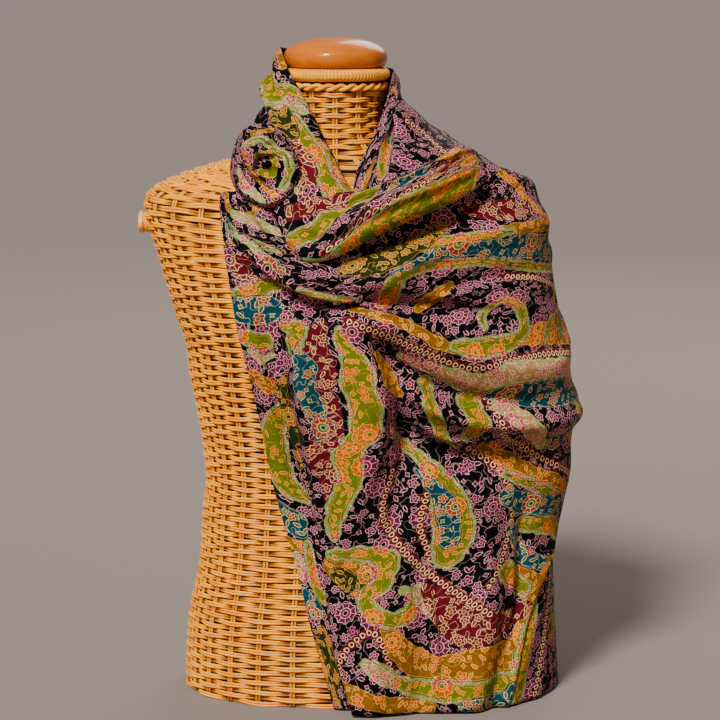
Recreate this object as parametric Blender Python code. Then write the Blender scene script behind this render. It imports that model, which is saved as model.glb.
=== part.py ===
"""A fine paisley shawl draped on a limbless wicker dress form with a turned wooden cap.

The form is a woven basket torso: a stacked ring surface from the floor to the neck, a wrapped
rim, a cap and two small arm plates. The shawl is one long rectangle of cloth. Each stretch of it
that shows is a wall of its own: the fall down the back, the layers that cross at the side, the
front fall with its fan of folds, the tail, the collar round the neck, the cowl roll and the
swirled rosette where it is all gathered.

Axes while modelling: x across with the covered shoulder at +x, y into the back, z up from the
floor, origin on the form's own upright axis. Tables are in millimetres and degrees.
"""
import math

import bmesh
import bpy
import numpy as np
from mathutils import Vector
from mathutils.bvhtree import BVHTree

MM = 0.001
WALL = 2.0                # thickness of one layer of the folded cloth
LAYER_STEP = 3.6          # from one layer of the drape to the next one over it
SEAM_GAP = 0.3            # between two stretches that meet edge to edge
REST_GAP = 2.1            # between a layer of the cape and what it is pressed against
BAND_GAP = 2.6            # the same under the bands, which cross the layers at a slant
NECK_GAP = 1.2            # the same under the neck band
PLACE = (-26.13, 14.58)   # moves the form's axis so that the whole thing is centred

# Rings of the basket body, floor to neck rim.
#        height  side   front  back   roundness
FORM_RINGS = (
    (0.0,    154.0, 104.0, 107.0, 2.25),
    (40.0,   153.0, 103.0, 106.0, 2.25),
    (80.0,   149.5, 100.0, 103.0, 2.25),
    (112.0,  142.5,  95.0,  98.0, 2.25),
    (148.0,  137.5,  89.0,  92.0, 2.25),
    (184.0,  135.5,  84.0,  87.0, 2.25),
    (214.0,  132.0,  82.0,  83.0, 2.25),
    (248.0,  134.5,  84.0,  83.0, 2.25),
    (285.0,  140.0,  89.0,  84.0, 2.25),
    (320.0,  147.0,  97.0,  87.0, 2.3),
    (353.0,  151.0, 105.0,  92.0, 2.3),
    (385.0,  161.0, 111.0,  97.0, 2.3),
    (415.0,  170.0, 112.0, 100.0, 2.3),
    (445.0,  178.5, 109.0, 100.0, 2.3),
    (470.0,  186.0, 103.0,  97.0, 2.25),
    (490.0,  191.5,  96.0,  92.0, 2.2),
    (502.0,  190.5,  90.0,  87.0, 2.1),
    (511.0,  181.5,  84.0,  82.0, 2.0),
    (518.5,  167.0,  79.0,  77.0, 2.0),
    (526.0,  147.5,  73.0,  72.0, 2.0),
    (533.0,  124.5,  67.0,  67.0, 2.0),
    (539.0,  102.0,  62.0,  62.0, 2.0),
    (545.0,   80.0,  57.0,  57.0, 2.0),
    (553.0,   61.0,  51.0,  51.0, 2.0),
    (564.0,   49.5,  46.5,  46.5, 2.0),
    (580.0,   45.5,  44.5,  44.5, 2.0),
    (600.0,   47.0,  47.0,  47.0, 2.0),
    (617.5,   50.0,  50.0,  50.0, 2.0),
)

RIM_BOTTOM = 617.8        # the wrapped rim on top of the neck
RIM_TOP = 630.5
RIM_OUTER = 54.6
RIM_INNER = 38.0

CAP_BOTTOM = 630.8        # the turned cap
# Half profile of the cap, foot to crown.
#        radius  height above its foot
CAP_PROFILE = (
    (45.5,  0.0),
    (48.8,  1.2),
    (51.0,  4.5),
    (51.9,  9.0),
    (51.2, 13.5),
    (48.6, 17.5),
    (43.0, 21.6),
    (34.0, 25.4),
    (22.0, 28.2),
    (10.0, 29.6),
)

ARM_PLATE_HEIGHT = 476.0  # centre of the oval end plates of the shoulders
ARM_PLATE_RISE = 11.0     # half height of the oval
ARM_PLATE_DEPTH = 17.0    # half depth of the oval
ARM_PLATE_REACH = 197.5   # its outer face from the axis
ARM_STEM_SHARE = 0.72     # the stem's size as a share of the plate
ARM_SEAT_GAP = 0.3        # between the stem and the rounded shoulder that it sits on

# Rings of the big cape of cloth that hangs from the neck and the covered shoulder.
#        height  right  left   front  back   roundness
CAPE_RINGS = (
    (609.0,  56.0,  56.0,  54.0,  55.0, 2.0),
    (595.0,  62.0,  62.0,  56.0,  57.0, 2.0),
    (578.0,  80.0,  76.0,  63.0,  61.0, 2.0),
    (560.0,  99.0,  90.0,  72.0,  66.0, 2.0),
    (546.0, 128.0, 106.0,  82.0,  74.0, 2.0),
    (530.0, 153.0, 134.0,  90.0,  83.0, 2.0),
    (512.0, 181.0, 166.0,  98.0,  91.0, 2.05),
    (489.0, 199.0, 180.0, 105.0,  99.0, 2.15),
    (447.0, 207.5, 176.0, 119.0, 108.0, 2.25),
    (392.0, 217.0, 166.0, 129.0, 113.0, 2.3),
    (336.0, 228.0, 158.0, 131.0, 110.0, 2.3),
    (280.0, 236.5, 148.0, 127.0, 106.0, 2.25),
    (230.0, 232.0, 142.0, 120.0, 106.0, 2.2),
    (167.0, 221.0, 146.0, 118.0, 111.0, 2.2),
    (91.0,  224.0, 154.0, 124.0, 118.0, 2.2),
    (2.0,   229.0, 160.0, 128.0, 123.0, 2.2),
)
CROWDING = 1.5            # draws the columns of a layer together towards the gather
# Rows of the front layer: closest together where the folds cross it. The third line is the seam
# of the shoulder wrap and the front fall, down in the crease.
#    row  station
FRONT_ROWS = (
    (0,   1.0),
    (8,   7.4),
    (16,  8.85),
    (39,  11.75),
    (48,  15.0),
)

# Edges of the cape's layers, one row for each ring: angle round the axis, 0 at the front.
#        wrap or fall starts  it ends   back fall starts  it ends   under layer ends
CAPE_EDGES = (
    (60.0,  165.0, 138.0, 232.0, 90.0),
    (54.0,  163.0, 136.0, 230.0, 90.0),
    (43.0,  160.0, 134.0, 226.0, 90.0),
    (34.0,  156.0, 130.0, 222.0, 90.0),
    (25.0,  152.0, 127.0, 218.0, 90.0),
    (19.0,  149.0, 124.0, 214.0, 90.0),
    (12.0,  146.0, 121.0, 211.0, 90.0),
    (3.0,   142.0, 117.0, 209.0, 90.0),
    (-1.0,  134.0, 109.0, 207.0, 90.0),
    (-16.5, 125.0, 100.0, 206.0, 88.0),
    (-18.0, 117.0,  92.0, 207.0, 86.0),
    (-15.0, 108.0,  83.0, 207.0, 84.0),
    (-11.0,  98.0,  72.0, 206.0, 80.0),
    (-5.0,   78.0,  58.0, 205.0, 77.0),
    (-2.0,   56.0,  44.0, 204.0, 72.0),
    (3.0,    45.0,  34.0, 203.0, 62.0),
)
UNDER_LAYER_WIDTH = 30.0  # degrees of it that lie below the front fall
UNDER_LAYER_TOP = 12.4    # station of its top edge

# Folds of the cape. Each follows a curve through four places, given as an angle round the axis
# and a height, and stands out by the rise at each. A negative rise is a crease. The spreads say
# how far it reaches above and below its line, or right and left of one that runs down.
#    fold                       angle, height, rise, four times over                           up, down
CAPE_FOLDS = (
    ("valley under the roll",     0.0, 445,   0,  12.8, 465,  -9,  27.8, 483,  -9,  52.8, 500,   0, 12, 11),
    ("ridge over the crease",     3.0, 422,   3,  14.8, 441,  13,  31.2, 461,  12,  88.0, 474,   5, 13, 14),
    ("hollow over the crease",   22.0, 417,   0,  32.8, 423,  -8,  45.5, 429,  -8,  87.0, 432,   0, 11, 11),
    ("deep crease",             -19.2, 411,  -6,  -0.8, 409, -20,  19.0, 406, -20,  47.0, 386,  -3, 10,  9),
    ("second swag",               0.5, 401,   5,  14.8, 386,  15,  41.2, 346,  14,  87.2, 355,   4, 10, 19),
    ("below second swag",         4.2, 380,   0,  13.0, 351, -19,  26.5, 319, -17,  57.8, 306,  -3, 11, 11),
    ("third swag",                9.5, 354,   0,  19.5, 313,  15,  39.5, 290,  15,  87.0, 285,   7, 12, 10),
    ("below third swag",          9.8, 314,   0,  20.0, 271, -16,  41.8, 260, -16,  86.0, 260,  -4, 10, 22),
    ("front ridge",               1.8, 396,   2,   8.5, 337,  13,   7.8, 260,  11,   0.5, 167,   0,  9, 30),
    ("foot of front ridge",       1.8, 197,   0,   0.2, 137,   5,   1.8,  67,   4,   2.8,  17,   4, 12, 14),
    ("front hollow",              7.0, 369,   0,  12.8, 321, -13,  14.0, 243, -12,  10.5, 150,   0, 16,  9),
    ("edge ridge",              -12.8, 401,   2, -10.0, 367,   6,  -8.2, 298,   7,  -4.5, 197,   0, 11, 11),
    ("tucked flank",            -16.8, 406,  -6, -15.0, 317, -14,  -7.5, 176, -14,   0.2,  28,  -8,  9, 11),
    ("lower ridge",              28.8, 244,   0,  37.8, 182,   6,  38.8,  91,   8,  33.5,  10,   8, 18, 18),
    ("lower hollow",             19.8, 211,   0,  22.2, 136,  -6,  21.2,  66,  -8,  19.0,  11,  -8, 15, 15),
    ("side hollow",              51.0, 228,   0,  52.5, 156,  -6,  46.5,  78,  -7,  40.8,   4,  -7, 13, 13),
    ("lip ridge",                71.8, 178,   0,  64.8, 111,   4,  53.8,  55,   5,  46.2,   2,   5, 11, 11),
    ("inner ridge",              12.5, 156,   0,  10.5,  98,   5,   9.0,  48,   7,   7.5,  13,   7, 14, 14),
    ("shoulder drop",           112.0, 508,   0, 124.0, 400,  10, 128.0, 220,  14, 116.0,  10,  14, 16, 16),
    ("hollow behind it",        128.0, 520,   0, 138.0, 400, -10, 142.0, 220, -12, 134.0,  10, -12, 13, 13),
    ("blade ridge",             142.0, 535,   0, 156.0, 400,  12, 161.0, 220,  15, 156.0,  10,  13, 15, 12),
    ("back hollow",             154.0, 545,   0, 172.0, 400,  -9, 178.0, 220, -12, 177.0,  10, -12, 13, 14),
    ("back ridge",              165.0, 545,   0, 187.0, 400,  10, 194.0, 220,  12, 196.0,  10,  10, 12, 12),
    ("elbow ridge, behind",      88.0, 284,   0, 100.0, 296,   8, 112.0, 330,   7, 126.0, 390,   0, 13, 12),
    ("hollow over it",           88.0, 316,   0, 100.0, 330,  -6, 112.0, 366,  -6, 128.0, 430,   0, 12, 12),
    ("second swag, behind",      86.0, 352,   0,  98.0, 366,   7, 112.0, 400,   7, 130.0, 460,   0, 13, 13),
    ("upper swag, behind",       86.0, 448,   0, 102.0, 446,   7, 120.0, 470,   7, 142.0, 512,   0, 13, 13),
    ("shoulder ridge",           52.0, 548,   0,  70.0, 520,   7,  98.0, 505,   8, 132.0, 520,   0, 12, 12),
    ("nape ridge",               88.0, 568,   0, 106.0, 556,   5, 126.0, 548,   7, 154.0, 556,   0, 11, 11),
)

# Each band is a stretch of gathered cloth between two edges, with a row for each cross-section.
# The neck band runs up the right of the neck, behind it, down its left and on as the cowl roll.
#        inner edge x, y, z         outer edge x, y, z        swell
NECK_BAND = (
    (17.0,   -96.0,  504.0,    47.0,  -94.0,  499.0,   3.0),
    (18.0,   -90.0,  518.0,    53.0,  -89.0,  512.0,   4.0),
    (20.5,   -80.0,  532.0,    57.3,  -80.0,  526.0,   5.0),
    (30.3,   -65.0,  552.3,    59.5,  -64.0,  544.5,   5.0),
    (41.1,   -52.0,  573.3,    60.5,  -44.0,  564.0,   5.0),
    (48.5,   -38.0,  594.3,    60.5,  -26.0,  580.0,   5.0),
    (54.0,   -18.0,  616.0,    60.5,   -8.0,  595.0,   4.0),
    (56.0,    10.0,  627.5,    62.5,   17.0,  601.0,   4.0),
    (46.5,    36.0,  629.0,    65.0,   54.0,  583.0,   7.0),
    (26.0,    55.0,  632.0,    33.0,   80.0,  558.0,  11.0),
    (-4.0,    60.0,  638.0,    -8.0,   80.0,  552.0,  12.0),
    (-31.0,   50.0,  644.0,   -44.0,   64.0,  558.0,  11.0),
    (-48.0,   30.0,  648.0,   -62.0,   40.0,  566.0,  10.0),
    (-54.5,    9.0,  650.0,   -68.0,   12.0,  574.0,   9.0),
    (-50.5,  -22.0,  640.5,   -73.0,   -4.0,  569.0,  10.0),
    (-45.5,  -36.0,  629.0,   -77.0,  -16.0,  565.0,  10.0),
    (-33.4,  -46.0,  608.3,   -80.5,  -27.0,  560.0,  11.0),
    (-22.6,  -52.0,  589.1,   -83.5,  -38.0,  554.0,  13.0),
    (-10.8,  -60.0,  565.2,   -83.5,  -54.0,  546.0,  14.0),
    (1.1,    -76.0,  544.0,   -71.5,  -88.0,  524.0,  15.0),
    (9.0,    -94.0,  528.4,   -58.3, -108.0,  496.8,  14.0),
    (18.6,  -102.0,  517.5,   -44.5, -120.0,  467.5,  17.0),
    (32.1,  -106.0,  517.7,   -24.2, -128.0,  450.0,  20.0),
    (48.3,  -107.0,  522.4,    -1.3, -132.0,  454.2,  23.0),
    (68.3,  -106.0,  530.8,    24.4, -132.0,  467.5,  25.0),
    (91.4,   -99.0,  541.7,    52.9, -130.0,  481.5,  25.0),
    (109.1,  -86.0,  552.4,    81.4, -124.0,  493.3,  23.0),
    (121.3,  -70.0,  556.0,   108.3, -114.0,  503.7,  18.0),
    (131.7,  -54.0,  553.0,   130.6, -100.0,  513.7,  12.0),
    (139.3,  -44.0,  546.7,   145.7,  -88.0,  524.5,   6.0),
)
NECK_SECTIONS = 70        # along the whole neck band
NECK_SEAMS = (17, 32, 47) # where its four stretches meet
LEFT_DRAPE = (
    (-64.0,  -94.0,  512.0,  -111.5,  -74.0,  511.0,   7.0),
    (-61.0,  -99.0,  503.0,  -112.5,  -82.0,  500.0,   8.0),
    (-55.6, -106.0,  494.3,  -110.4,  -92.0,  487.1,   9.0),
    (-42.9, -118.0,  470.5,  -108.3,  -98.0,  470.2,   8.0),
    (-23.6, -124.0,  449.9,   -99.4, -104.0,  455.3,   7.0),
    (0.4,   -130.0,  431.3,   -70.2, -112.0,  432.9,   6.0),
)
TWIST = (
    (-93.0,   -98.0, 480.0,   -99.0,  -97.0,  469.0,   6.0),
    (-77.0,  -109.0, 470.0,   -85.0, -107.0,  457.4,   8.0),
    (-59.3,  -118.0, 455.0,   -69.0, -116.0,  441.2,   9.0),
    (-38.0,  -126.0, 439.5,   -45.8, -124.0,  425.7,   9.0),
    (-13.9,  -132.0, 428.7,   -19.7, -130.0,  415.9,   8.0),
    (10.1,   -136.0, 423.4,     8.1, -134.0,  411.6,   6.0),
)
LEFT_TAIL = (
    (-55.0,  -118.0, 458.0,  -108.5,  -96.0,  462.0,   4.0),
    (-44.0,  -120.0, 436.0,  -104.0,  -99.0,  435.0,   4.0),
    (-39.0,  -120.0, 407.0,   -99.3, -100.0,  404.0,   5.0),
    (-40.0,  -118.0, 380.0,   -95.6,  -99.0,  380.0,   5.0),
    (-38.0,  -113.0, 346.0,   -87.0,  -96.0,  346.0,   5.0),
    (-33.0,  -104.0, 310.0,   -79.4,  -90.0,  310.0,   5.0),
    (-24.0,   -97.0, 269.0,   -70.9,  -84.0,  269.0,   5.0),
    (-14.0,   -92.0, 228.0,   -63.2,  -80.0,  228.0,   4.0),
    (-4.0,    -93.0, 184.0,   -51.6,  -82.0,  184.0,   4.0),
    (2.0,    -100.0, 136.0,   -37.0,  -90.0,  136.0,   4.0),
    (6.0,    -106.0,  92.0,   -27.2,  -98.0,   92.0,   4.0),
    (13.0,   -110.0,  44.0,   -13.5, -104.0,   44.0,   4.0),
    (18.0,   -112.0,   2.0,    -2.0, -108.0,    2.0,   4.0),
)

# Pleats that run along the bands.
#    from row, to row, share of the width at its start, at its end, rise, spread
NECK_PLEATS = (
    (6.0,  15.0, 0.28, 0.30, -5.0, 7.0),
    (6.0,  16.0, 0.52, 0.50,  3.0, 7.0),
    (7.0,  18.0, 0.74, 0.68, -5.0, 7.0),
    (12.0, 21.0, 0.30, 0.42, -4.0, 8.0),
    (14.0, 23.0, 0.65, 0.70,  4.0, 9.0),
    (19.0, 29.0, 0.34, 0.26, -6.0, 7.0),
    (20.0, 29.0, 0.60, 0.50,  4.0, 8.0),
    (19.0, 28.0, 0.84, 0.80, -4.0, 6.0),
)
DRAPE_PLEATS = (
    (0.0, 5.0, 0.35, 0.20,  4.0, 7.0),
    (0.0, 5.0, 0.60, 0.55, -4.0, 7.0),
)
TAIL_PLEATS = (
    (0.0, 12.0, 0.40, 0.50, -4.0, 7.0),
    (0.0, 12.0, 0.75, 0.75,  2.5, 7.0),
)

ROSETTE_CENTRE = (-69.0, -98.0, 540.0)
ROSETTE_WIDE = 34.0       # half width of the swirl of gathered cloth
ROSETTE_HIGH = 39.0       # its half height
ROSETTE_DOME = 20.0       # how far its middle stands out
ROSETTE_PITCH = 15.5      # from one turn of the swirl to the next
ROSETTE_RIDGE = 3.6       # half the depth between the turns

# Colour, roughness and metallic value of each finish.
FINISHES = {
    "cloth": ((0.22, 0.15, 0.06, 1.0), 0.85, 0.0),
    "wicker": ((0.72, 0.42, 0.13, 1.0), 0.5, 0.0),
    "turned wood": ((0.60, 0.22, 0.03, 1.0), 0.18, 0.0),
}


def smooth(values, at):
    """Reads a column of evenly numbered values at fractional places, on a curve with no overshoot."""
    values = np.asarray(values, float)
    slopes = np.diff(values)
    tangents = np.zeros_like(values)
    same_way = slopes[:-1] * slopes[1:] > 0
    harmonic = 2 * slopes[:-1] * slopes[1:] / np.where(same_way, slopes[:-1] + slopes[1:], 1.0)
    tangents[1:-1] = np.where(same_way, harmonic, 0.0)
    tangents[0] = slopes[0]
    tangents[-1] = slopes[-1]
    place = np.clip(np.asarray(at, float), 0, len(values) - 1)
    row = np.minimum(place.astype(int), len(values) - 2)
    t = place - row
    rise = values[row + 1] - values[row]
    bend = tangents[row] + tangents[row + 1] - 2 * rise
    return values[row] + t * (tangents[row] + t * (3 * rise - 2 * tangents[row] - tangents[row + 1] + t * bend))


def round_point(right, left, front, back, roundness, angle):
    """A point of a rounded ring: angle 0 faces the front, 90 the covered shoulder, 180 the back."""
    sine = np.sin(np.radians(angle))
    cosine = np.cos(np.radians(angle))
    reach = np.where(sine >= 0, right, left)
    depth = np.where(cosine >= 0, front, back)
    x = reach * np.sign(sine) * np.abs(sine) ** (2 / roundness)
    y = -depth * np.sign(cosine) * np.abs(cosine) ** (2 / roundness)
    return x, y


def form_point(station, angle):
    height, side, front, back, roundness = (smooth(column, station) for column in zip(*FORM_RINGS))
    x, y = round_point(side, side, front, back, roundness, angle)
    return np.stack(np.broadcast_arrays(x, y, height), axis=-1)


def cape_point(station, angle):
    height, right, left, front, back, roundness = (
        smooth(column, station) for column in zip(*CAPE_RINGS))
    x, y = round_point(right, left, front, back, roundness, angle)
    return np.stack(np.broadcast_arrays(x, y, height), axis=-1)


def station_at(height):
    """The cape's station at a height."""
    heights = [row[0] for row in CAPE_RINGS]
    return np.interp(-np.asarray(height), [-h for h in heights], range(len(heights)))


def unit(vectors):
    lengths = np.linalg.norm(vectors, axis=-1, keepdims=True)
    return vectors / np.maximum(lengths, 1e-9)


def grid_normals(points):
    """Normals of a grid of points, outwards where the first axis runs to the right and the
    second runs down, seen from outside."""
    along = np.gradient(points, axis=0)
    down = np.gradient(points, axis=1)
    return unit(np.cross(down, along))


def cape_normal(station, angle):
    step = 0.4
    along = cape_point(station, angle + step) - cape_point(station, angle - step)
    down = cape_point(station + 0.02, angle) - cape_point(station - 0.02, angle)
    return unit(np.cross(down, along))


def fold_rise(points, normals):
    """How far the folds lift each point of the cape off its plain rings."""
    total = np.zeros(points.shape[:-1])
    t = np.linspace(0, 3, 40)[:, None]
    blend = np.hstack([(1 - t) * (2 - t) * (3 - t) / 6, t * (2 - t) * (3 - t) / 2,
                       t * (t - 1) * (3 - t) / 2, t * (t - 1) * (t - 2) / 6])
    for row in CAPE_FOLDS:
        places = np.array(row[1:13], float).reshape(4, 3)
        angle, height, rise = (blend @ places).T
        path = cape_point(station_at(height), angle)
        offsets = points[..., None, :] - path
        distance = np.linalg.norm(offsets, axis=-1)
        nearest = distance.argmin(axis=-1)
        tangent = unit(np.gradient(path, axis=0))[nearest]
        offset = np.take_along_axis(offsets, nearest[..., None, None], axis=-2)[..., 0, :]
        reach = distance.min(axis=-1)
        upward = (np.cross(normals, tangent) * offset).sum(-1) / np.maximum(reach, 1e-6)
        spread = row[14] + (row[13] - row[14]) * (0.5 + 0.5 * upward)
        total += rise[nearest] * np.exp(-(reach / spread) ** 2)
    return total


def settle(points, inward, carriers, clearance, rounds=4):
    """Lifts a grid of points, and those next to them, off what lies below, looking inwards, and
    keeps the lift soft."""
    far = 300.0
    lift = np.zeros(points.shape[:-1])
    for index in np.ndindex(lift.shape):
        direction = Vector(inward[index])
        start = Vector(points[index]) - direction * far
        for tree, _ in carriers:
            hit = tree.ray_cast(start, direction, far + clearance)
            if hit[3] is not None:
                lift[index] = max(lift[index], far + clearance - hit[3])
    spread = np.pad(lift, 1, mode="edge")
    spread = np.maximum(np.maximum(spread[:-2], spread[1:-1]), spread[2:])
    lift = np.maximum(np.maximum(spread[:, :-2], spread[:, 1:-1]), spread[:, 2:])
    soft = lift
    for _ in range(rounds):
        padded = np.pad(soft, 1, mode="edge")
        blurred = (padded[:-2, 1:-1] + padded[2:, 1:-1] + padded[1:-1, :-2] + padded[1:-1, 2:]) / 4
        soft = np.maximum(lift, blurred)
    return points - inward * soft[..., None]


def sample_points(bm):
    """The vertices of a mesh and three places along each of its edges."""
    places = [vertex.co.copy() for vertex in bm.verts]
    for edge in bm.edges:
        start, end = (vertex.co for vertex in edge.verts)
        places += [start.lerp(end, share) for share in (0.25, 0.5, 0.75)]
    return places


def solid(bm):
    return BVHTree.FromBMesh(bm), sample_points(bm)


def seat(bm, direction, carriers):
    """Moves a piece the way it leans until it all but touches what carries it."""
    reach = 12.0
    way = Vector(direction).normalized()
    for _ in range(15):
        tree, places = solid(bm)
        gap = reach
        for carrier, carrier_places in carriers:
            near = [carrier.find_nearest(place, gap)[3] for place in places]
            near += [tree.find_nearest(place, gap)[3] for place in carrier_places]
            gap = min([gap] + [distance for distance in near if distance is not None])
        if gap < SEAM_GAP + 0.02:
            break
        bmesh.ops.translate(bm, verts=bm.verts, vec=way * (gap - SEAM_GAP))
    return bm


def cut(points, normals, seams, axis):
    """Parts a grid at its seams into stretches that lie a seam's gap from each other."""
    last = points.shape[axis] - 1
    stops = [0] + list(seams) + [last]
    for first, end in zip(stops, stops[1:]):
        piece = np.take(points, range(first, end + 1), axis=axis)
        edges = np.moveaxis(piece, axis, 0)
        if first > 0:
            edges[0] += unit(edges[1] - edges[0]) * SEAM_GAP / 2
        if end < last:
            edges[-1] += unit(edges[-2] - edges[-1]) * SEAM_GAP / 2
        yield piece, np.take(normals, range(first, end + 1), axis=axis)


def finish_material(name):
    material = bpy.data.materials.new(name)
    colour, roughness, metallic = FINISHES[name]
    material.use_nodes = True
    shader = material.node_tree.nodes["Principled BSDF"]
    shader.inputs["Base Color"].default_value = colour
    shader.inputs["Roughness"].default_value = roughness
    shader.inputs["Metallic"].default_value = metallic
    return material


def place_object(name, bm, finish):
    """Makes the named object from a mesh in millimetres and puts it in the part's own frame."""
    shift = Vector((PLACE[0], PLACE[1], 0.0))
    for vertex in bm.verts:
        vertex.co = (vertex.co + shift) * MM
    bmesh.ops.recalc_face_normals(bm, faces=bm.faces)
    mesh = bpy.data.meshes.new(name)
    bm.to_mesh(mesh)
    bm.free()
    mesh.shade_smooth()
    mesh.set_sharp_from_angle(angle=math.radians(70))
    piece = bpy.data.objects.new(name, mesh)
    piece.data.materials.append(finish_material(finish))
    bpy.context.scene.collection.objects.link(piece)
    return piece


def wall(points, normals, thickness):
    """A closed wall: a grid of outer points, its copy moved in, and the strips round the edge."""
    bm = bmesh.new()
    inner = points - normals * np.asarray(thickness)[..., None]
    columns, rows = points.shape[:2]
    outer_verts = [[bm.verts.new(points[i, j]) for j in range(rows)] for i in range(columns)]
    inner_verts = [[bm.verts.new(inner[i, j]) for j in range(rows)] for i in range(columns)]
    for i in range(columns - 1):
        for j in range(rows - 1):
            bm.faces.new((outer_verts[i][j], outer_verts[i][j + 1],
                          outer_verts[i + 1][j + 1], outer_verts[i + 1][j]))
            bm.faces.new((inner_verts[i][j], inner_verts[i + 1][j],
                          inner_verts[i + 1][j + 1], inner_verts[i][j + 1]))
    edge = [(i, 0) for i in range(columns)] + [(columns - 1, j) for j in range(1, rows)]
    edge += [(i, rows - 1) for i in range(columns - 2, -1, -1)] + [(0, j) for j in range(rows - 2, 0, -1)]
    for (i, j), (k, m) in zip(edge, edge[1:] + edge[:1]):
        bm.faces.new((outer_verts[i][j], outer_verts[k][m], inner_verts[k][m], inner_verts[i][j]))
    bmesh.ops.recalc_face_normals(bm, faces=bm.faces)
    bmesh.ops.triangulate(bm, faces=bm.faces)
    return bm


def turned(profile, segments, squeeze=1.0):
    """A closed turned solid from a half profile of radii and heights, foot to top."""
    bm = bmesh.new()
    rings = []
    for radius, height in profile:
        ring = []
        for k in range(segments):
            turn = 2 * math.pi * k / segments
            ring.append(bm.verts.new((radius * math.sin(turn), -radius * squeeze * math.cos(turn), height)))
        rings.append(ring)
    for low, high in zip(rings, rings[1:]):
        for k in range(segments):
            n = (k + 1) % segments
            bm.faces.new((low[k], low[n], high[n], high[k]))
    bm.faces.new(rings[0])
    bm.faces.new(rings[-1])
    bmesh.ops.recalc_face_normals(bm, faces=bm.faces)
    return bm


def form_basket():
    bm = bmesh.new()
    segments = 32
    rings = []
    for station in range(len(FORM_RINGS)):
        angles = np.arange(segments) * 360 / segments
        rings.append([bm.verts.new(point) for point in form_point(float(station), angles)])
    for low, high in zip(rings, rings[1:]):
        for k in range(segments):
            n = (k + 1) % segments
            bm.faces.new((low[k], low[n], high[n], high[k]))
    bm.faces.new(rings[0])
    bm.faces.new(rings[-1])
    bmesh.ops.recalc_face_normals(bm, faces=bm.faces)
    return bm


def rim_coil():
    """The rim: a fat ring of round section, wrapped with cane."""
    bm = bmesh.new()
    middle = (RIM_OUTER + RIM_INNER) / 2
    half_wide = (RIM_OUTER - RIM_INNER) / 2
    half_high = (RIM_TOP - RIM_BOTTOM) / 2
    segments = 28
    around = 8
    rings = []
    for k in range(segments):
        turn = 2 * math.pi * k / segments
        ring = []
        for m in range(around):
            roll = 2 * math.pi * (m + 0.5) / around
            radius = middle + half_wide * math.cos(roll)
            height = RIM_BOTTOM + half_high + half_high * math.sin(roll) / math.cos(math.pi / around)
            ring.append(bm.verts.new((radius * math.sin(turn), -radius * math.cos(turn), height)))
        rings.append(ring)
    for k in range(segments):
        here = rings[k]
        there = rings[(k + 1) % segments]
        for m in range(around):
            n = (m + 1) % around
            bm.faces.new((here[m], there[m], there[n], here[n]))
    bmesh.ops.recalc_face_normals(bm, faces=bm.faces)
    return bm


def form_side(y, z):
    """How far the basket reaches sideways at a depth and a height."""
    station = np.interp(z, [row[0] for row in FORM_RINGS], range(len(FORM_RINGS)))
    height, side, front, back, roundness = (float(smooth(column, station)) for column in zip(*FORM_RINGS))
    depth = front if y < 0 else back
    return side * (1 - (abs(y) / depth) ** roundness) ** (1 / roundness)


def arm_plate(side):
    """An oval end plate on a short stem that is seated on the shoulder."""
    stem_end = ARM_PLATE_REACH - 5.0
    #         share of the oval, reach from the axis, None where it follows the shoulder
    profile = ((ARM_STEM_SHARE / 2, None), (ARM_STEM_SHARE, None), (ARM_STEM_SHARE, stem_end),
               (0.96, stem_end + 0.4), (1.0, stem_end + 1.8), (1.0, ARM_PLATE_REACH - 1.2),
               (0.92, ARM_PLATE_REACH))
    bm = bmesh.new()
    segments = 16
    rings = []
    for share, reach in profile:
        ring = []
        for k in range(segments):
            turn = 2 * math.pi * k / segments
            y = share * ARM_PLATE_DEPTH * math.cos(turn)
            z = ARM_PLATE_HEIGHT + share * ARM_PLATE_RISE * math.sin(turn)
            x = form_side(y, z) + ARM_SEAT_GAP if reach is None else reach
            ring.append(bm.verts.new((side * x, y, z)))
        rings.append(ring)
    for low, high in zip(rings, rings[1:]):
        for k in range(segments):
            n = (k + 1) % segments
            bm.faces.new((low[k], low[n], high[n], high[k]))
    seat = bm.verts.new((side * (form_side(0.0, ARM_PLATE_HEIGHT) + ARM_SEAT_GAP), 0.0, ARM_PLATE_HEIGHT))
    for k in range(segments):
        bm.faces.new((seat, rings[0][k], rings[0][(k + 1) % segments]))
    bm.faces.new(rings[-1])
    bmesh.ops.recalc_face_normals(bm, faces=bm.faces)
    return bm


def cape_grid(starts, ends, stations, columns, offset):
    """Outer points of a layer of the cape between its two edges, with a row at each station."""
    station = np.asarray(stations)[None, :]
    across = np.linspace(0, 1, columns + 1)[:, None] ** CROWDING
    start = smooth(starts, station)
    end = smooth(ends, station)
    angle = start + (end - start) * across
    station = np.broadcast_to(station, angle.shape)
    plain = cape_point(station, angle)
    normals = cape_normal(station, angle)
    return plain + normals * (fold_rise(plain, normals) + offset)[..., None], normals


def cape_layer(starts, ends, stations, columns, offset, carriers):
    points, normals = cape_grid(starts, ends, stations, columns, offset)
    points = settle(points, -normals, carriers, WALL + REST_GAP)
    return points, grid_normals(points)


def even_wall(points, normals):
    return wall(points, normals, np.full(points.shape[:2], WALL))


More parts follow.
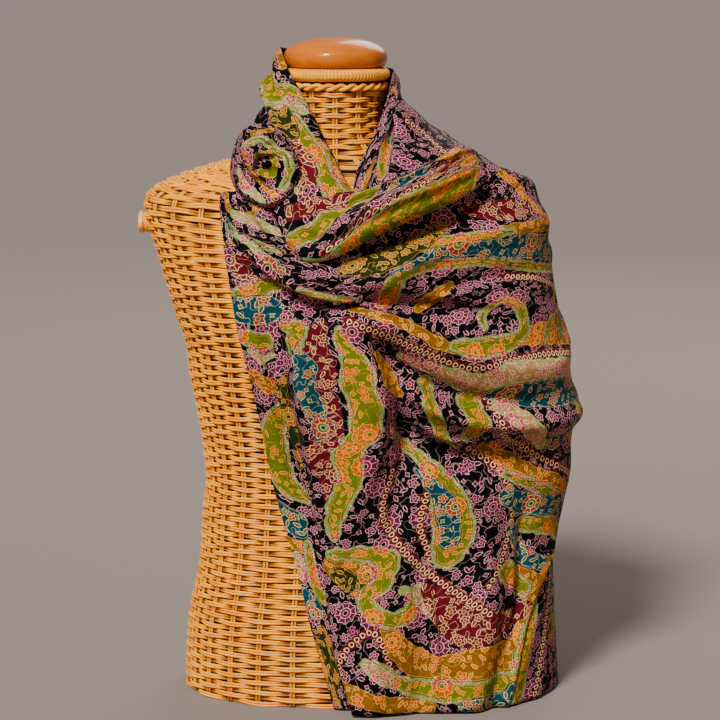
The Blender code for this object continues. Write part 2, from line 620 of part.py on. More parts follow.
def band_grid(rows, pleats, sections, across):
    """Outer points of a band: each cross-section is half an ellipse between its two edges."""
    place = np.linspace(0, len(rows) - 1, sections + 1)
    columns = [smooth(column, place) for column in zip(*rows)]
    inner = np.stack(columns[0:3], axis=-1)
    outer = np.stack(columns[3:6], axis=-1)
    middle = (inner + outer) / 2
    out = unit(np.cross(np.gradient(middle, axis=0), outer - inner))
    facing = (out * middle * np.array([1.0, 1.0, 0.0])).sum(-1)
    out = out * np.sign(facing)[:, None]
    turn = np.linspace(0, math.pi, across + 1)[None, :]
    share = (1 - np.cos(turn)) / 2
    lift = columns[6][:, None] * np.sin(turn)
    width = np.linalg.norm(outer - inner, axis=-1)[:, None]
    for first, last, start, end, rise, spread in pleats:
        run = np.clip((place[:, None] - first) / (last - first), 0, 1)
        line = start + (end - start) * run
        fade = np.sin(math.pi * run) * np.sin(turn)
        lift = lift + rise * fade * np.exp(-((share - line) * width / spread) ** 2)
    return inner[:, None] + (outer - inner)[:, None] * share[..., None] + out[:, None] * lift[..., None]


def lay(points, inward, gap, carriers):
    """A band's outer points laid on what carries it, and their normals."""
    inwards = inward(points)
    points = settle(points, inwards, carriers, WALL + gap, 10)
    normals = grid_normals(points)
    if (normals * inwards).sum() > 0:
        normals = -normals
    return points, normals


def from_front(points):
    return np.broadcast_to(np.array([0.0, 1.0, 0.0]), points.shape)


def from_round(points):
    flat = points * np.array([1.0, 1.0, 0.0])
    return -unit(flat)


def rosette(carriers):
    """A dome of gathered cloth with one ridge that winds out from its middle."""
    rings = 10
    spokes = 24
    turn = np.linspace(0, 2 * math.pi, spokes + 1)[:-1, None]
    share = np.linspace(0, 1, rings + 1)[None, 1:]
    radius = share * (ROSETTE_WIDE + ROSETTE_HIGH) / 2
    taper = np.minimum(1.0, 3 * (1 - share))
    ridge = ROSETTE_RIDGE * taper * np.cos(2 * math.pi * radius / ROSETTE_PITCH - turn)
    dome = ROSETTE_DOME * np.sqrt(1 - share ** 2)
    x = ROSETTE_CENTRE[0] + ROSETTE_WIDE * share * np.cos(turn)
    y = ROSETTE_CENTRE[1] - dome - ridge
    z = ROSETTE_CENTRE[2] + ROSETTE_HIGH * share * np.sin(turn)
    thickness = WALL + ridge + ROSETTE_RIDGE * taper
    outer = np.stack([x, y, z], axis=-1)
    outer = settle(outer, from_front(outer), carriers, WALL + REST_GAP + 2 * ROSETTE_RIDGE)
    inner = outer + np.stack([0 * thickness, thickness, 0 * thickness], axis=-1)
    bm = bmesh.new()
    outer_rings = [[bm.verts.new(outer[k, m]) for k in range(spokes)] for m in range(rings)]
    inner_rings = [[bm.verts.new(inner[k, m]) for k in range(spokes)] for m in range(rings)]
    crown = bm.verts.new(outer[:, 0].mean(axis=0) - np.array([0.0, 0.5, 0.0]))
    hollow = bm.verts.new(inner[:, 0].mean(axis=0))
    for k in range(spokes):
        n = (k + 1) % spokes
        bm.faces.new((crown, outer_rings[0][k], outer_rings[0][n]))
        bm.faces.new((hollow, inner_rings[0][n], inner_rings[0][k]))
        for m in range(rings - 1):
            bm.faces.new((outer_rings[m][k], outer_rings[m + 1][k], outer_rings[m + 1][n], outer_rings[m][n]))
            bm.faces.new((inner_rings[m][n], inner_rings[m + 1][n], inner_rings[m + 1][k], inner_rings[m][k]))
        bm.faces.new((outer_rings[-1][k], inner_rings[-1][k], inner_rings[-1][n], outer_rings[-1][n]))
    bmesh.ops.recalc_face_normals(bm, faces=bm.faces)
    bmesh.ops.triangulate(bm, faces=bm.faces)
    return bm


def clear_scene():
    for piece in list(bpy.data.objects):
        bpy.data.objects.remove(piece, do_unlink=True)


def build():
    clear_scene()
    solids = {}

    def add(name, bm, finish):
        solids[name] = solid(bm)
        place_object(name, bm, finish)

    add("form_basket", form_basket(), "wicker")
    add("neck_rim", rim_coil(), "wicker")
    add("neck_cap", turned([(r, CAP_BOTTOM + h) for r, h in CAP_PROFILE], 28), "turned wood")
    add("arm_plate_left", arm_plate(-1), "turned wood")
    add("arm_plate_right", arm_plate(1), "turned wood")
    form = list(solids.values())

    edges = [list(column) for column in zip(*CAPE_EDGES)]
    fall_start, fall_end, back_start, back_end, under_end = edges
    under_start = [angle - UNDER_LAYER_WIDTH for angle in under_end]
    hem = float(len(CAPE_RINGS) - 1)

    back = cape_layer(back_start, back_end, np.linspace(1.0, hem, 21), 17, 0.0, form)
    add("shawl_back_fall", seat(even_wall(*back), (0, -1, 0), form), "cloth")
    back_fall = solids["shawl_back_fall"]

    under_rows = np.linspace(UNDER_LAYER_TOP, hem, 11)
    under = cape_layer(under_start, under_end, under_rows, 8, LAYER_STEP, form + [back_fall])
    add("shawl_under_layer", seat(even_wall(*under), (-1, 0.6, 0), form + [back_fall]), "cloth")

    tail = lay(band_grid(LEFT_TAIL, TAIL_PLEATS, 24, 6), from_front, BAND_GAP, form)
    add("shawl_left_tail", seat(even_wall(*tail), (0, 1, 0), form), "cloth")

    neck = band_grid(NECK_BAND, NECK_PLEATS, NECK_SECTIONS, 9)
    right, rest = (stretch for stretch, _ in cut(neck, neck, NECK_SEAMS[:1], 0))
    right = lay(right, from_round, NECK_GAP, form)
    add("shawl_neck_right", even_wall(*right), "cloth")

    front_rows = np.interp(range(FRONT_ROWS[-1][0] + 1), *zip(*FRONT_ROWS))
    carriers = list(solids.values())
    front = cape_layer(fall_start, fall_end, front_rows, 33, 2 * LAYER_STEP, carriers)
    wrap, fall = cut(*front, (FRONT_ROWS[2][0],), 1)
    add("shawl_shoulder_wrap", even_wall(*wrap), "cloth")
    add("shawl_front_fall", even_wall(*fall), "cloth")

    carriers = list(solids.values())
    drape = lay(band_grid(LEFT_DRAPE, DRAPE_PLEATS, 14, 10), from_front, BAND_GAP, carriers)
    add("shawl_left_drape", seat(even_wall(*drape), (0, 1, 0), carriers), "cloth")
    carriers = list(solids.values())
    twist = lay(band_grid(TWIST, (), 18, 6), from_front, BAND_GAP, carriers)
    add("shawl_twist", seat(even_wall(*twist), (0, 1, 0), carriers), "cloth")

    laid = lay(rest, from_round, NECK_GAP, list(solids.values()))
    laid[1][0] = right[1][-1]
    seams = [section - NECK_SEAMS[0] for section in NECK_SEAMS[1:]]
    for name, stretch in zip(("collar_back", "neck_left", "cowl_roll"), cut(*laid, seams, 0)):
        add("shawl_" + name, even_wall(*stretch), "cloth")

    carriers = list(solids.values())
    add("shawl_rosette", seat(rosette(carriers), (0, 1, 0), carriers), "cloth")


build()
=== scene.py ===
"""A fine paisley shawl draped on a limbless wicker dress form with a turned wooden cap."""
import math

import bpy
import numpy as np
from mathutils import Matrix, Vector
from mathutils.bvhtree import BVHTree


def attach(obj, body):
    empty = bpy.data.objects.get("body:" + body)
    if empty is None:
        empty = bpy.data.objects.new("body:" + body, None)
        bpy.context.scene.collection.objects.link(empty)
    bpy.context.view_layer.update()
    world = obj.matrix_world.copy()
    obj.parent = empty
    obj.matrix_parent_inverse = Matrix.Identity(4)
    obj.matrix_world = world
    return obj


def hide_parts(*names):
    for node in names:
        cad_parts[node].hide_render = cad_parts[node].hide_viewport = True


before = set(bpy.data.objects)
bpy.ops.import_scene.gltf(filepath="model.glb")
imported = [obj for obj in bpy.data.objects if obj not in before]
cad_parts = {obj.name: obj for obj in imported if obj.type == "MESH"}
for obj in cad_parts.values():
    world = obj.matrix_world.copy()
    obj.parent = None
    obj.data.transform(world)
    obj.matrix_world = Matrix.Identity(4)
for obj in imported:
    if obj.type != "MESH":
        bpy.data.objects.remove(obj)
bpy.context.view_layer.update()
bpy.ops.object.select_all(action="DESELECT")

# ---- The room -------------------------------------------------------------------------------
# The form stands on a plain pale floor that runs on behind it. The broad light of a window comes
# from high on the left, with a small lamp beside it for the gloss and another behind the form.
ROOM_TINT = (0.1925, 0.1585, 0.1380)
FLOOR_SIZE = 300.0
FLOOR_CLOUDS = 0.05              # how much the floor's tint comes and goes
SKY_TINT = (0.735, 0.612, 0.54)
SKY_POWER = 0.50
WINDOW_TURN = (48.0, 0.0, -24.0)
WINDOW_POWER = 5.6
WINDOW_WIDTH = 12.0              # in degrees, as seen from the form
# name, place, size, power, tint
LAMPS = (
    ("gloss", (-1.1, -1.9, 1.9), 0.5, 10.0, (1.0, 0.98, 0.95)),
    ("back", (0.9, 2.6, 2.2), 1.6, 34.0, (1.0, 1.0, 1.0)),
)
LAMPS_AIM = Vector((0.0, 0.0, 0.36))
CAMERA_PLACE = (-0.00173, -2.53142, 0.739)
CAMERA_TILT = 80.9835
CAMERA_LENS = 126.99
CAMERA_FILM = 36.0


class Tone:
    """A value or a colour on its way through a finish. Arithmetic on it adds the nodes."""

    def __init__(self, tree, socket):
        self.tree = tree
        self.socket = socket

    def node(self, kind, settings=None, inputs=None, output=0):
        made = self.tree.nodes.new(kind)
        settings = dict(settings or {})
        stops = settings.pop("stops", None)
        for name, value in settings.items():
            setattr(made, name, value)
        if stops:
            ramp = made.color_ramp
            ramp.interpolation = stops[0]
            while len(ramp.elements) < len(stops) - 1:
                ramp.elements.new(1.0)
            for element, (place, colour) in zip(ramp.elements, stops[1:]):
                element.position = place
                element.color = (*colour, 1.0)
        for name, value in (inputs or {}).items():
            if isinstance(value, Tone):
                self.tree.links.new(value.socket, made.inputs[name])
            else:
                made.inputs[name].default_value = value
        return Tone(self.tree, made.outputs[output])

    def out(self, name):
        """Another output of the same node."""
        return Tone(self.tree, self.socket.node.outputs[name])

    def maths(self, operation, *values):
        return self.node("ShaderNodeMath", {"operation": operation}, dict(enumerate(values)))

    def __add__(self, other):
        return self.maths("ADD", self, other)

    __radd__ = __add__

    def __sub__(self, other):
        return self.maths("SUBTRACT", self, other)

    def __rsub__(self, other):
        return self.maths("SUBTRACT", other, self)

    def __mul__(self, other):
        return self.maths("MULTIPLY", self, other)

    __rmul__ = __mul__

    def __truediv__(self, other):
        return self.maths("DIVIDE", self, other)

    def __gt__(self, other):
        return self.maths("GREATER_THAN", self, other)

    def __abs__(self):
        return self.maths("ABSOLUTE", self)

    def ramp(self, low, high):
        """0 below low, 1 above high, smooth between them."""
        return self.node("ShaderNodeMapRange", {"interpolation_type": "SMOOTHSTEP"},
                         {"Value": self, "From Min": low, "From Max": high})

    def part(self, axis):
        return self.node("ShaderNodeSeparateXYZ", None, {0: self}, axis)

    def scaled(self, share):
        return self.node("ShaderNodeVectorMath", {"operation": "SCALE"}, {0: self, "Scale": share})

    def stretched(self, *shares):
        return self.node("ShaderNodeVectorMath", {"operation": "MULTIPLY"}, {0: self, 1: shares})

    def noise(self, scale, detail=2.0):
        return self.node("ShaderNodeTexNoise", None,
                         {"Vector": self, "Scale": scale, "Detail": detail, "Roughness": 0.5})

    def stored(self, name, output=1):
        """What a piece keeps under a name, point by point: three values, or one at output 2."""
        return self.node("ShaderNodeAttribute", {"attribute_name": name}, None, output)

    def colour(self, tint):
        """A plain colour to start from."""
        plain = self.node("ShaderNodeRGB")
        plain.socket.default_value = (*tint, 1.0)
        return plain

    def mix(self, mask, other):
        """This colour, with another over it where the mask is 1."""
        other = other if isinstance(other, Tone) else (*other, 1.0)
        return self.node("ShaderNodeMix", {"data_type": "RGBA"}, {0: mask, 6: self, 7: other}, 2)

    def tint(self, colour):
        return self.node("ShaderNodeMix", {"data_type": "RGBA", "blend_type": "MULTIPLY"},
                         {0: 1.0, 6: self, 7: (*colour, 1.0)}, 2)

    def bump(self, strength):
        """A normal from this height, up to four tenths of a millimetre deep."""
        return self.node("ShaderNodeBump", None,
                         {"Strength": strength, "Distance": 0.0004, "Height": self})


def finish(name, **fixed):
    """A new finish: its material, its shader with the fixed values set, and its first tone."""
    material = bpy.data.materials.new(name)
    material.use_nodes = True
    shader = material.node_tree.nodes["Principled BSDF"]
    for socket, value in fixed.items():
        shader.inputs[socket.replace("_", " ")].default_value = value
    place = material.node_tree.nodes.new("ShaderNodeTexCoord")
    return material, shader, Tone(material.node_tree, place.outputs["Object"])


def wear(shader, **tones):
    """Joins tones to the shader's sockets."""
    for socket, tone in tones.items():
        tone.tree.links.new(tone.socket, shader.inputs[socket.replace("_", " ")])


bpy.ops.mesh.primitive_plane_add(size=FLOOR_SIZE)
floor = bpy.context.object
floor.name = "studio_floor"
plaster, shader, place = finish("pale_plaster", Roughness=0.9)
brighter = [share * 1.05 for share in ROOM_TINT]
wear(shader, Base_Color=place.colour(ROOM_TINT).mix(place.noise(1.5) * FLOOR_CLOUDS, brighter))
floor.data.materials.append(plaster)

world = bpy.context.scene.world or bpy.data.worlds.new("studio")
bpy.context.scene.world = world
world.use_nodes = True
sky = world.node_tree.nodes["Background"].inputs
sky["Color"].default_value = (*SKY_TINT, 1.0)
sky["Strength"].default_value = SKY_POWER

# The window is a sun lamp, so that its light is the same all over the room.
bpy.ops.object.light_add(type="SUN", rotation=[math.radians(turn) for turn in WINDOW_TURN])
window = bpy.context.object
window.name = "window_light"
window.data.energy = WINDOW_POWER
window.data.angle = math.radians(WINDOW_WIDTH)
for name, place, size, power, tint in LAMPS:
    bpy.ops.object.light_add(type="AREA", location=place)
    lamp = bpy.context.object
    lamp.name = name + "_light"
    lamp.data.size = size
    lamp.data.energy = power
    lamp.data.color = tint
    lamp.rotation_euler = (LAMPS_AIM - Vector(place)).to_track_quat("-Z", "Y").to_euler()

bpy.ops.object.camera_add(location=CAMERA_PLACE, rotation=(math.radians(CAMERA_TILT), 0.0, 0.0))
camera = bpy.context.object
camera.data.lens = CAMERA_LENS
camera.data.sensor_width = CAMERA_FILM
bpy.context.scene.camera = camera

# ---- Basket body ----------------------------------------------------------------------------
# The limbless torso is woven from varnished cane: paired weavers that pass before and behind
# paired upright stakes, row over row, and fan out over the shoulders.
MM = 0.001
PLACE = np.array([-26.13, 14.58, 0.0])     # the form's upright axis in the shared frame
# Rings of the basket, floor to neck rim: height, side, front, back, roundness.
FORM_RINGS = (
    (0, 154, 104, 107, 2.25),
    (40, 153, 103, 106, 2.25),
    (80, 149.5, 100, 103, 2.25),
    (112, 142.5, 95, 98, 2.25),
    (148, 137.5, 89, 92, 2.25),
    (184, 135.5, 84, 87, 2.25),
    (214, 132, 82, 83, 2.25),
    (248, 134.5, 84, 83, 2.25),
    (285, 140, 89, 84, 2.25),
    (320, 147, 97, 87, 2.3),
    (353, 151, 105, 92, 2.3),
    (385, 161, 111, 97, 2.3),
    (415, 170, 112, 100, 2.3),
    (445, 178.5, 109, 100, 2.3),
    (470, 186, 103, 97, 2.25),
    (490, 191.5, 96, 92, 2.2),
    (502, 190.5, 90, 87, 2.1),
    (511, 181.5, 84, 82, 2),
    (518.5, 167, 79, 77, 2),
    (526, 147.5, 73, 72, 2),
    (533, 124.5, 67, 67, 2),
    (539, 102, 62, 62, 2),
    (545, 80, 57, 57, 2),
    (553, 61, 51, 51, 2),
    (564, 49.5, 46.5, 46.5, 2),
    (580, 45.5, 44.5, 44.5, 2),
    (600, 47, 47, 47, 2),
    (617.5, 50, 50, 50, 2),
)
STAKES = 26
STAKE_PLACES = 5                 # places along a weaver from one stake to the next
TORSO_SPAN = (-168.0, 38.0)      # the angles where the cloth leaves it in view
TORSO_TOP = 22.2                 # ring of the last row of the torso
ROW_PITCH = 5.2
SHOULDER_PITCH = 7.4
PITCH_BLEND = 40.0               # length over which the one pitch grows to the other
SHOULDER_RING = 14.0             # above it the rows are further apart
FAN_RING = 12.5                  # above it they fan out
SHOULDER_DIP = 3.84              # rings that a shoulder row dips towards the front
SHOULDER_FAT = 0.28              # how much fatter its weavers are
WEAVER = 1.22                    # radius of a weaver cane
STAKE = 1.35
WEAVE_DEPTH = 2.3                # how far a weaver swings in and out
WEAVE_MIDDLE = -1.4              # its mid line from the form's surface
NECK_STAKES = 12
NECK_SPAN = (-125.0, 110.0)
NECK_HEIGHTS = (515.0, 606.0)    # its first and last row
NECK_PITCH = 5.0
NECK_PLACES = 56                 # places along each of its weavers
NECK_DEPTH = 1.9
# How deep each cane lies sets its painted shade.
STAKE_SHADE, ROPE_SHADE, STEM_SHADE = -0.35, 0.6, 0.3     # depths: -1 is darkest, 1 brightest
CANE_LIGHT = (1.0, 0.43, 0.004)
CANE_GOLD = (0.86, 0.265, 0.002)
CANE_GRAIN_AND_SHADE = (0.11, 0.026, 0.001)
SHADE_SHEET_DEPTH = 6.5
INSIDE_SHADE_BROWN = (0.085, 0.032, 0.008)
FLOOR_LIGHT_PALE = (0.80, 0.66, 0.44)
SHADE_SHEET_HEIGHTS = (0.2, 616.0)
ROUND_SHADE_SHEET = 72                # points round each of its rings
SHADE_SHEET_ROWS = 100


def smooth(values, at):
    """Reads a column of values at fractional places, on a curve with no overshoot."""
    values = np.asarray(values, float)
    slopes = np.diff(values)
    tangents = np.zeros_like(values)
    same_way = slopes[:-1] * slopes[1:] > 0
    harmonic = 2 * slopes[:-1] * slopes[1:] / np.where(same_way, slopes[:-1] + slopes[1:], 1.0)
    tangents[1:-1] = np.where(same_way, harmonic, 0.0)
    tangents[0] = slopes[0]
    tangents[-1] = slopes[-1]
    place = np.clip(np.asarray(at, float), 0, len(values) - 1)
    row = np.minimum(place.astype(int), len(values) - 2)
    t = place - row
    rise = values[row + 1] - values[row]
    bend = tangents[row] + tangents[row + 1] - 2 * rise
    turn = 3 * rise - 2 * tangents[row] - tangents[row + 1]
    return values[row] + t * (tangents[row] + t * (turn + t * bend))


def round_point(right, left, front, back, roundness, angle):
    """A point of a rounded ring: angle 0 faces the front, 90 the covered shoulder, 180 the back."""
    sine = np.sin(np.radians(angle))
    cosine = np.cos(np.radians(angle))
    reach = np.where(sine >= 0, right, left)
    depth = np.where(cosine >= 0, front, back)
    x = reach * np.sign(sine) * np.abs(sine) ** (2 / roundness)
    y = -depth * np.sign(cosine) * np.abs(cosine) ** (2 / roundness)
    return x, y


def form_point(station, angle):
    height, side, front, back, roundness = (smooth(column, station) for column in zip(*FORM_RINGS))
    x, y = round_point(side, side, front, back, roundness, angle)
    return np.stack(np.broadcast_arrays(x, y, height), axis=-1)


def unit(vectors):
    lengths = np.linalg.norm(vectors, axis=-1, keepdims=True)
    return vectors / np.maximum(lengths, 1e-9)


def form_normal(station, angle):
    along = form_point(station, angle + 0.5) - form_point(station, angle - 0.5)
    up = form_point(station + 0.05, angle) - form_point(station - 0.05, angle)
    return unit(np.cross(along, up))


def new_piece(name, points, faces, material):
    """A piece of the object, from points in millimetres on the form's own axis."""
    mesh = bpy.data.meshes.new(name)
    mesh.from_pydata(((np.reshape(points, (-1, 3)) + PLACE) * MM).tolist(), [], faces)
    mesh.shade_smooth()
    mesh.materials.append(material)
    piece = bpy.data.objects.new(name, mesh)
    bpy.context.scene.collection.objects.link(piece)
    return piece


def put_values(piece, name, kind, values):
    """Keeps a value or three for each point of a piece, for its finish to read."""
    width = {"FLOAT": "value", "FLOAT_VECTOR": "vector"}[kind]
    layer = piece.data.attributes.new(name, kind, "POINT")
    layer.data.foreach_set(width, np.asarray(values, np.float32).ravel())


def closed_quads(here, there):
    """Faces between rings of points and the rings after them."""
    quads = np.stack([here, np.roll(here, -1, -1), np.roll(there, -1, -1), there], axis=-1)
    return quads.reshape(-1, 4).tolist()


def canes(name, paths, outs, radii, sides, depth):
    """Round canes along many paths, with closed ends; outs point away from the form."""
    along = unit(np.gradient(paths, axis=1))
    across = unit(np.cross(along, outs))
    out = np.cross(across, along)
    turn = 2 * math.pi * np.arange(sides) / sides
    ring = out[:, :, None] * np.cos(turn)[:, None] + across[:, :, None] * np.sin(turn)[:, None]
    count, places = paths.shape[:2]
    points = paths[:, :, None] + ring * np.broadcast_to(radii, (count, places))[..., None, None]
    index = np.arange(count * places * sides).reshape(count, places, sides)
    ends = index[:, 0, ::-1].tolist() + index[:, -1].tolist()
    piece = new_piece(name, points, closed_quads(index[:, :-1], index[:, 1:]) + ends, cane)
    depth = np.broadcast_to(depth, (count, places))[..., None]
    put_values(piece, "depth", "FLOAT", np.repeat(depth, sides, axis=-1))
    return piece


def weave(name, stations, angles, stakes, sway, radii):
    """Paired weavers along rows: before one stake, behind the next, and the other way a row up."""
    rows = np.arange(len(stations))[:, None]
    swing = np.cos(math.pi * (angles * stakes / 360 + rows))
    base = form_point(stations, angles)
    outs = form_normal(stations, angles)
    ups = unit(form_point(stations + 0.05, angles) - base)
    # Each row wanders a little, in two slow waves of its own.
    drift = 0.35 * np.sin(angles * 0.31 + rows * 2.4) + 0.25 * np.sin(angles * 0.083 + rows * 5.1)
    lift = WEAVE_MIDDLE + sway * swing + 0.25 * drift
    # The two weavers of a pair lie closest where they pass between the stakes.
    paths = []
    for way in (-1.0, 1.0):
        part = way * radii * (0.92 + 0.14 * np.abs(swing))
        paths.append(base + outs * lift[..., None] + ups * (part + drift)[..., None])
    return canes(name, np.concatenate(paths), np.concatenate([outs, outs]),
                 np.concatenate([radii, radii]), sides=5, depth=np.concatenate([swing, swing]))


def uprights(name, stakes, span, first, last, places):
    """Pairs of upright stakes at even angles."""
    step = 360 / stakes
    found = np.arange(math.ceil(span[0] / step), math.floor(span[1] / step) + 1) * step
    station, angle = np.broadcast_arrays(np.linspace(first, last, places)[None, :], found[:, None])
    base = form_point(station, angle)
    outs = form_normal(station, angle)
    across = unit(form_point(station, angle + 0.5) - base)
    paths = [base + outs * WEAVE_MIDDLE + across * STAKE * 1.15 * way for way in (-1, 1)]
    return canes(name, np.concatenate(paths), np.concatenate([outs, outs]), STAKE, sides=6,
                 depth=STAKE_SHADE)


# Varnished cane: golden skin with fine lengthwise grain, and painted shade where it dips behind a
# stake.
cane, shader, place = finish("varnished_cane", Roughness=0.40, Specular_IOR_Level=0.2,
                             Coat_Weight=0.08, Coat_Roughness=0.15)
lengthwise = place.stretched(1.0, 1.0, 9.0)
grain = lengthwise.noise(240.0)
depth = place.stored("depth", 2)
skin = place.colour(CANE_GOLD).mix(lengthwise.noise(26.0, 3.0).ramp(0.38, 0.66), CANE_LIGHT)
skin = skin.mix(grain.ramp(0.5, 0.72) * 0.35, CANE_GRAIN_AND_SHADE)
# Painted shade: the cane darkens where it dips in behind a stake and in the grooves of the binding.
skin = skin.mix((depth * -1.0).ramp(-0.1, 0.95) * 0.75, CANE_GRAIN_AND_SHADE)
wear(shader, Base_Color=skin, Normal=grain.bump(0.25))

# The rows are set out up the side of the form, and fan out where they pass over the shoulders.
side = np.linspace(0.0, TORSO_TOP, 3000)
run = form_point(side, np.full_like(side, -90.0))
length = np.concatenate([[0.0], np.cumsum(np.linalg.norm(np.diff(run, axis=0), axis=1))])
shoulder_length = np.interp(SHOULDER_RING, side, length)
stops = [ROW_PITCH / 2]
while stops[-1] < length[-1]:
    share = np.clip((stops[-1] - shoulder_length) / PITCH_BLEND, 0, 1)
    stops.append(stops[-1] + ROW_PITCH + (SHOULDER_PITCH - ROW_PITCH) * share)
rows = np.interp(stops[:-1], length, side)[:, None]
places = int((TORSO_SPAN[1] - TORSO_SPAN[0]) * STAKES / 360 * STAKE_PLACES)
angles = np.linspace(*TORSO_SPAN, places)[None, :]
fan = np.clip((rows - FAN_RING) / (TORSO_TOP - FAN_RING), 0, 1) ** 1.3
stations = rows - SHOULDER_DIP * fan * (1 - np.abs(np.sin(np.radians(angles))))
radii = WEAVER * (1 + SHOULDER_FAT * np.clip((rows - SHOULDER_RING) / 3, 0, 1)) + 0 * stations
torso_weave = weave("torso_weave", stations, angles + 0 * stations, STAKES, WEAVE_DEPTH, radii)

rows = np.interp(np.arange(*NECK_HEIGHTS, NECK_PITCH), [row[0] for row in FORM_RINGS],
                 range(len(FORM_RINGS)))[:, None]
stations, angles = np.broadcast_arrays(rows, np.linspace(*NECK_SPAN, NECK_PLACES))
neck_weave = weave("neck_weave", stations, angles, NECK_STAKES, NECK_DEPTH,
                   np.full(stations.shape, WEAVER * 0.98))
torso_stakes = uprights("torso_stakes", STAKES, TORSO_SPAN, first=0.02, last=TORSO_TOP, places=70)
neck_stakes = uprights("neck_stakes", NECK_STAKES, NECK_SPAN, first=20.0, last=26.8, places=20)

# A dark sheet inside the canes is painted shade that shows between them; low down it has pale
# patches of painted light, as of the lit floor seen through the gaps.
shade, shader, place = finish("painted_inside_shade", Roughness=0.9)
# Painted light: pale patches near the floor.
pale = (1 - place.part(2).ramp(0.018, 0.058)) * place.noise(22.0).ramp(0.38, 0.6)
wear(shader, Base_Color=place.colour(INSIDE_SHADE_BROWN).mix(pale, FLOOR_LIGHT_PALE))
around = np.arange(ROUND_SHADE_SHEET) * 360 / ROUND_SHADE_SHEET
rows = np.linspace(0.0, len(FORM_RINGS) - 1, SHADE_SHEET_ROWS)[:, None]
# The sheet of painted shade sits a little inside the canes.
shade_sheet = form_point(rows, around) - form_normal(rows, around) * SHADE_SHEET_DEPTH
shade_sheet[..., 2] = np.clip(shade_sheet[..., 2], *SHADE_SHEET_HEIGHTS)
index = np.arange(shade_sheet.shape[0] * ROUND_SHADE_SHEET).reshape(-1, ROUND_SHADE_SHEET)
faces = closed_quads(index[:-1], index[1:]) + [index[0, ::-1].tolist(), index[-1].tolist()]
basket_shade_sheet = new_piece("basket_shade_sheet", shade_sheet, faces, shade)

for piece in (torso_weave, neck_weave, torso_stakes, neck_stakes, basket_shade_sheet):
    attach(piece, "root")
    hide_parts("form_basket")

# ---- Rim of the neck ------------------------------------------------------------------------
# A fat ring bound closely with slanting turns of cane, over a row of two strands that are
# twisted round each other.
RIM_MIDDLE = 46.3
RIM_HALF_WIDE = 8.3
RIM_BOTTOM, RIM_TOP = 617.8, 630.5
RIM_SIDES = 18
BINDINGS = 92
BINDING_RISE = 1.1
BINDING_SLANT = 1.3
BINDING_POINTS = 6               # points across each turn of the binding
ROPE_HEIGHT = 612.6
ROPE_REACH = 49.3
ROPE_RADIUS = 2.0
ROPE_SWING = (1.9, 2.0)          # how far its strands wind round their middle, out and up
ROPE_TURNS = 13

around = BINDINGS * BINDING_POINTS
turns = 2 * math.pi * np.arange(around)[:, None] / around
rolls = 2 * math.pi * np.arange(RIM_SIDES)[None, :] / RIM_SIDES
phase = (turns * BINDINGS + rolls * BINDING_SLANT) / math.pi % 2.0 - 1.0
lump = np.sqrt(np.clip(1 - 0.94 * phase ** 2, 0, 1))
half_high = (RIM_TOP - RIM_BOTTOM) / 2
reach = RIM_MIDDLE + (RIM_HALF_WIDE - BINDING_RISE * (1 - lump)) * np.cos(rolls)
height = RIM_BOTTOM + half_high + (half_high - BINDING_RISE * (1 - lump)) * np.sin(rolls)
points = np.stack([reach * np.sin(turns), -reach * np.cos(turns), height], axis=-1)
index = np.arange(points.shape[0] * RIM_SIDES).reshape(-1, RIM_SIDES)
ahead = np.roll(index, -1, 0)
quads = np.stack([index, ahead, np.roll(ahead, -1, 1), np.roll(index, -1, 1)], axis=-1)
neck_binding = new_piece("neck_binding", points, quads.reshape(-1, 4).tolist(), cane)
# Painted shade in the grooves between the turns of the binding.
put_values(neck_binding, "depth", "FLOAT", 2.2 * lump - 1.4)

turn = np.linspace(0, 2 * math.pi, 240)[None, :]
start = np.array([0.0, math.pi])[:, None]
reach = ROPE_REACH + ROPE_SWING[0] * np.cos(turn * ROPE_TURNS + start)
height = ROPE_HEIGHT + ROPE_SWING[1] * np.sin(turn * ROPE_TURNS + start)
paths = np.stack([reach * np.sin(turn), -reach * np.cos(turn), height], axis=-1)
outs = unit(paths * np.array([1.0, 1.0, 0.0]))
neck_rope = canes("neck_rope", paths, outs, ROPE_RADIUS, sides=8, depth=ROPE_SHADE)

for piece in (neck_binding, neck_rope):
    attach(piece, "root")
    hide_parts("neck_rim")

# ---- Cap of the neck ------------------------------------------------------------------------
# A low domed cap closes the neck and rests on its rim. It is turned from light wood, stained
# amber and finished with thick gloss lacquer.
CAP_BOTTOM = 630.8
# radius, height above its foot
CAP_PROFILE = (
    (45.5, 0),
    (48.8, 1.2),
    (51, 4.5),
    (51.9, 9),
    (51.2, 13.5),
    (48.6, 17.5),
    (43, 21.6),
    (34, 25.4),
    (22, 28.2),
    (10, 29.6),
)
CAP_SIDES = 96
CAP_CROWN = (4.0, 0.2)           # the last inset of its top, and its rise
STAIN = (0.42, 0.088, 0.0)
STAIN_LIGHT = (0.54, 0.13, 0.0)
STAIN_DARK = (0.26, 0.05, 0.0)

lacquer, shader, wood = finish("amber_lacquer", Roughness=0.30, Specular_IOR_Level=0.1,
                               Coat_Weight=0.38, Coat_Roughness=0.04)
figure = wood.stretched(1.0, 6.0, 6.0)
stain = wood.colour(STAIN).mix(figure.noise(9.0, 4.0).ramp(0.35, 0.7), STAIN_LIGHT)
wear(shader, Base_Color=stain.mix(figure.noise(70.0).ramp(0.5, 0.75) * 0.35, STAIN_DARK))

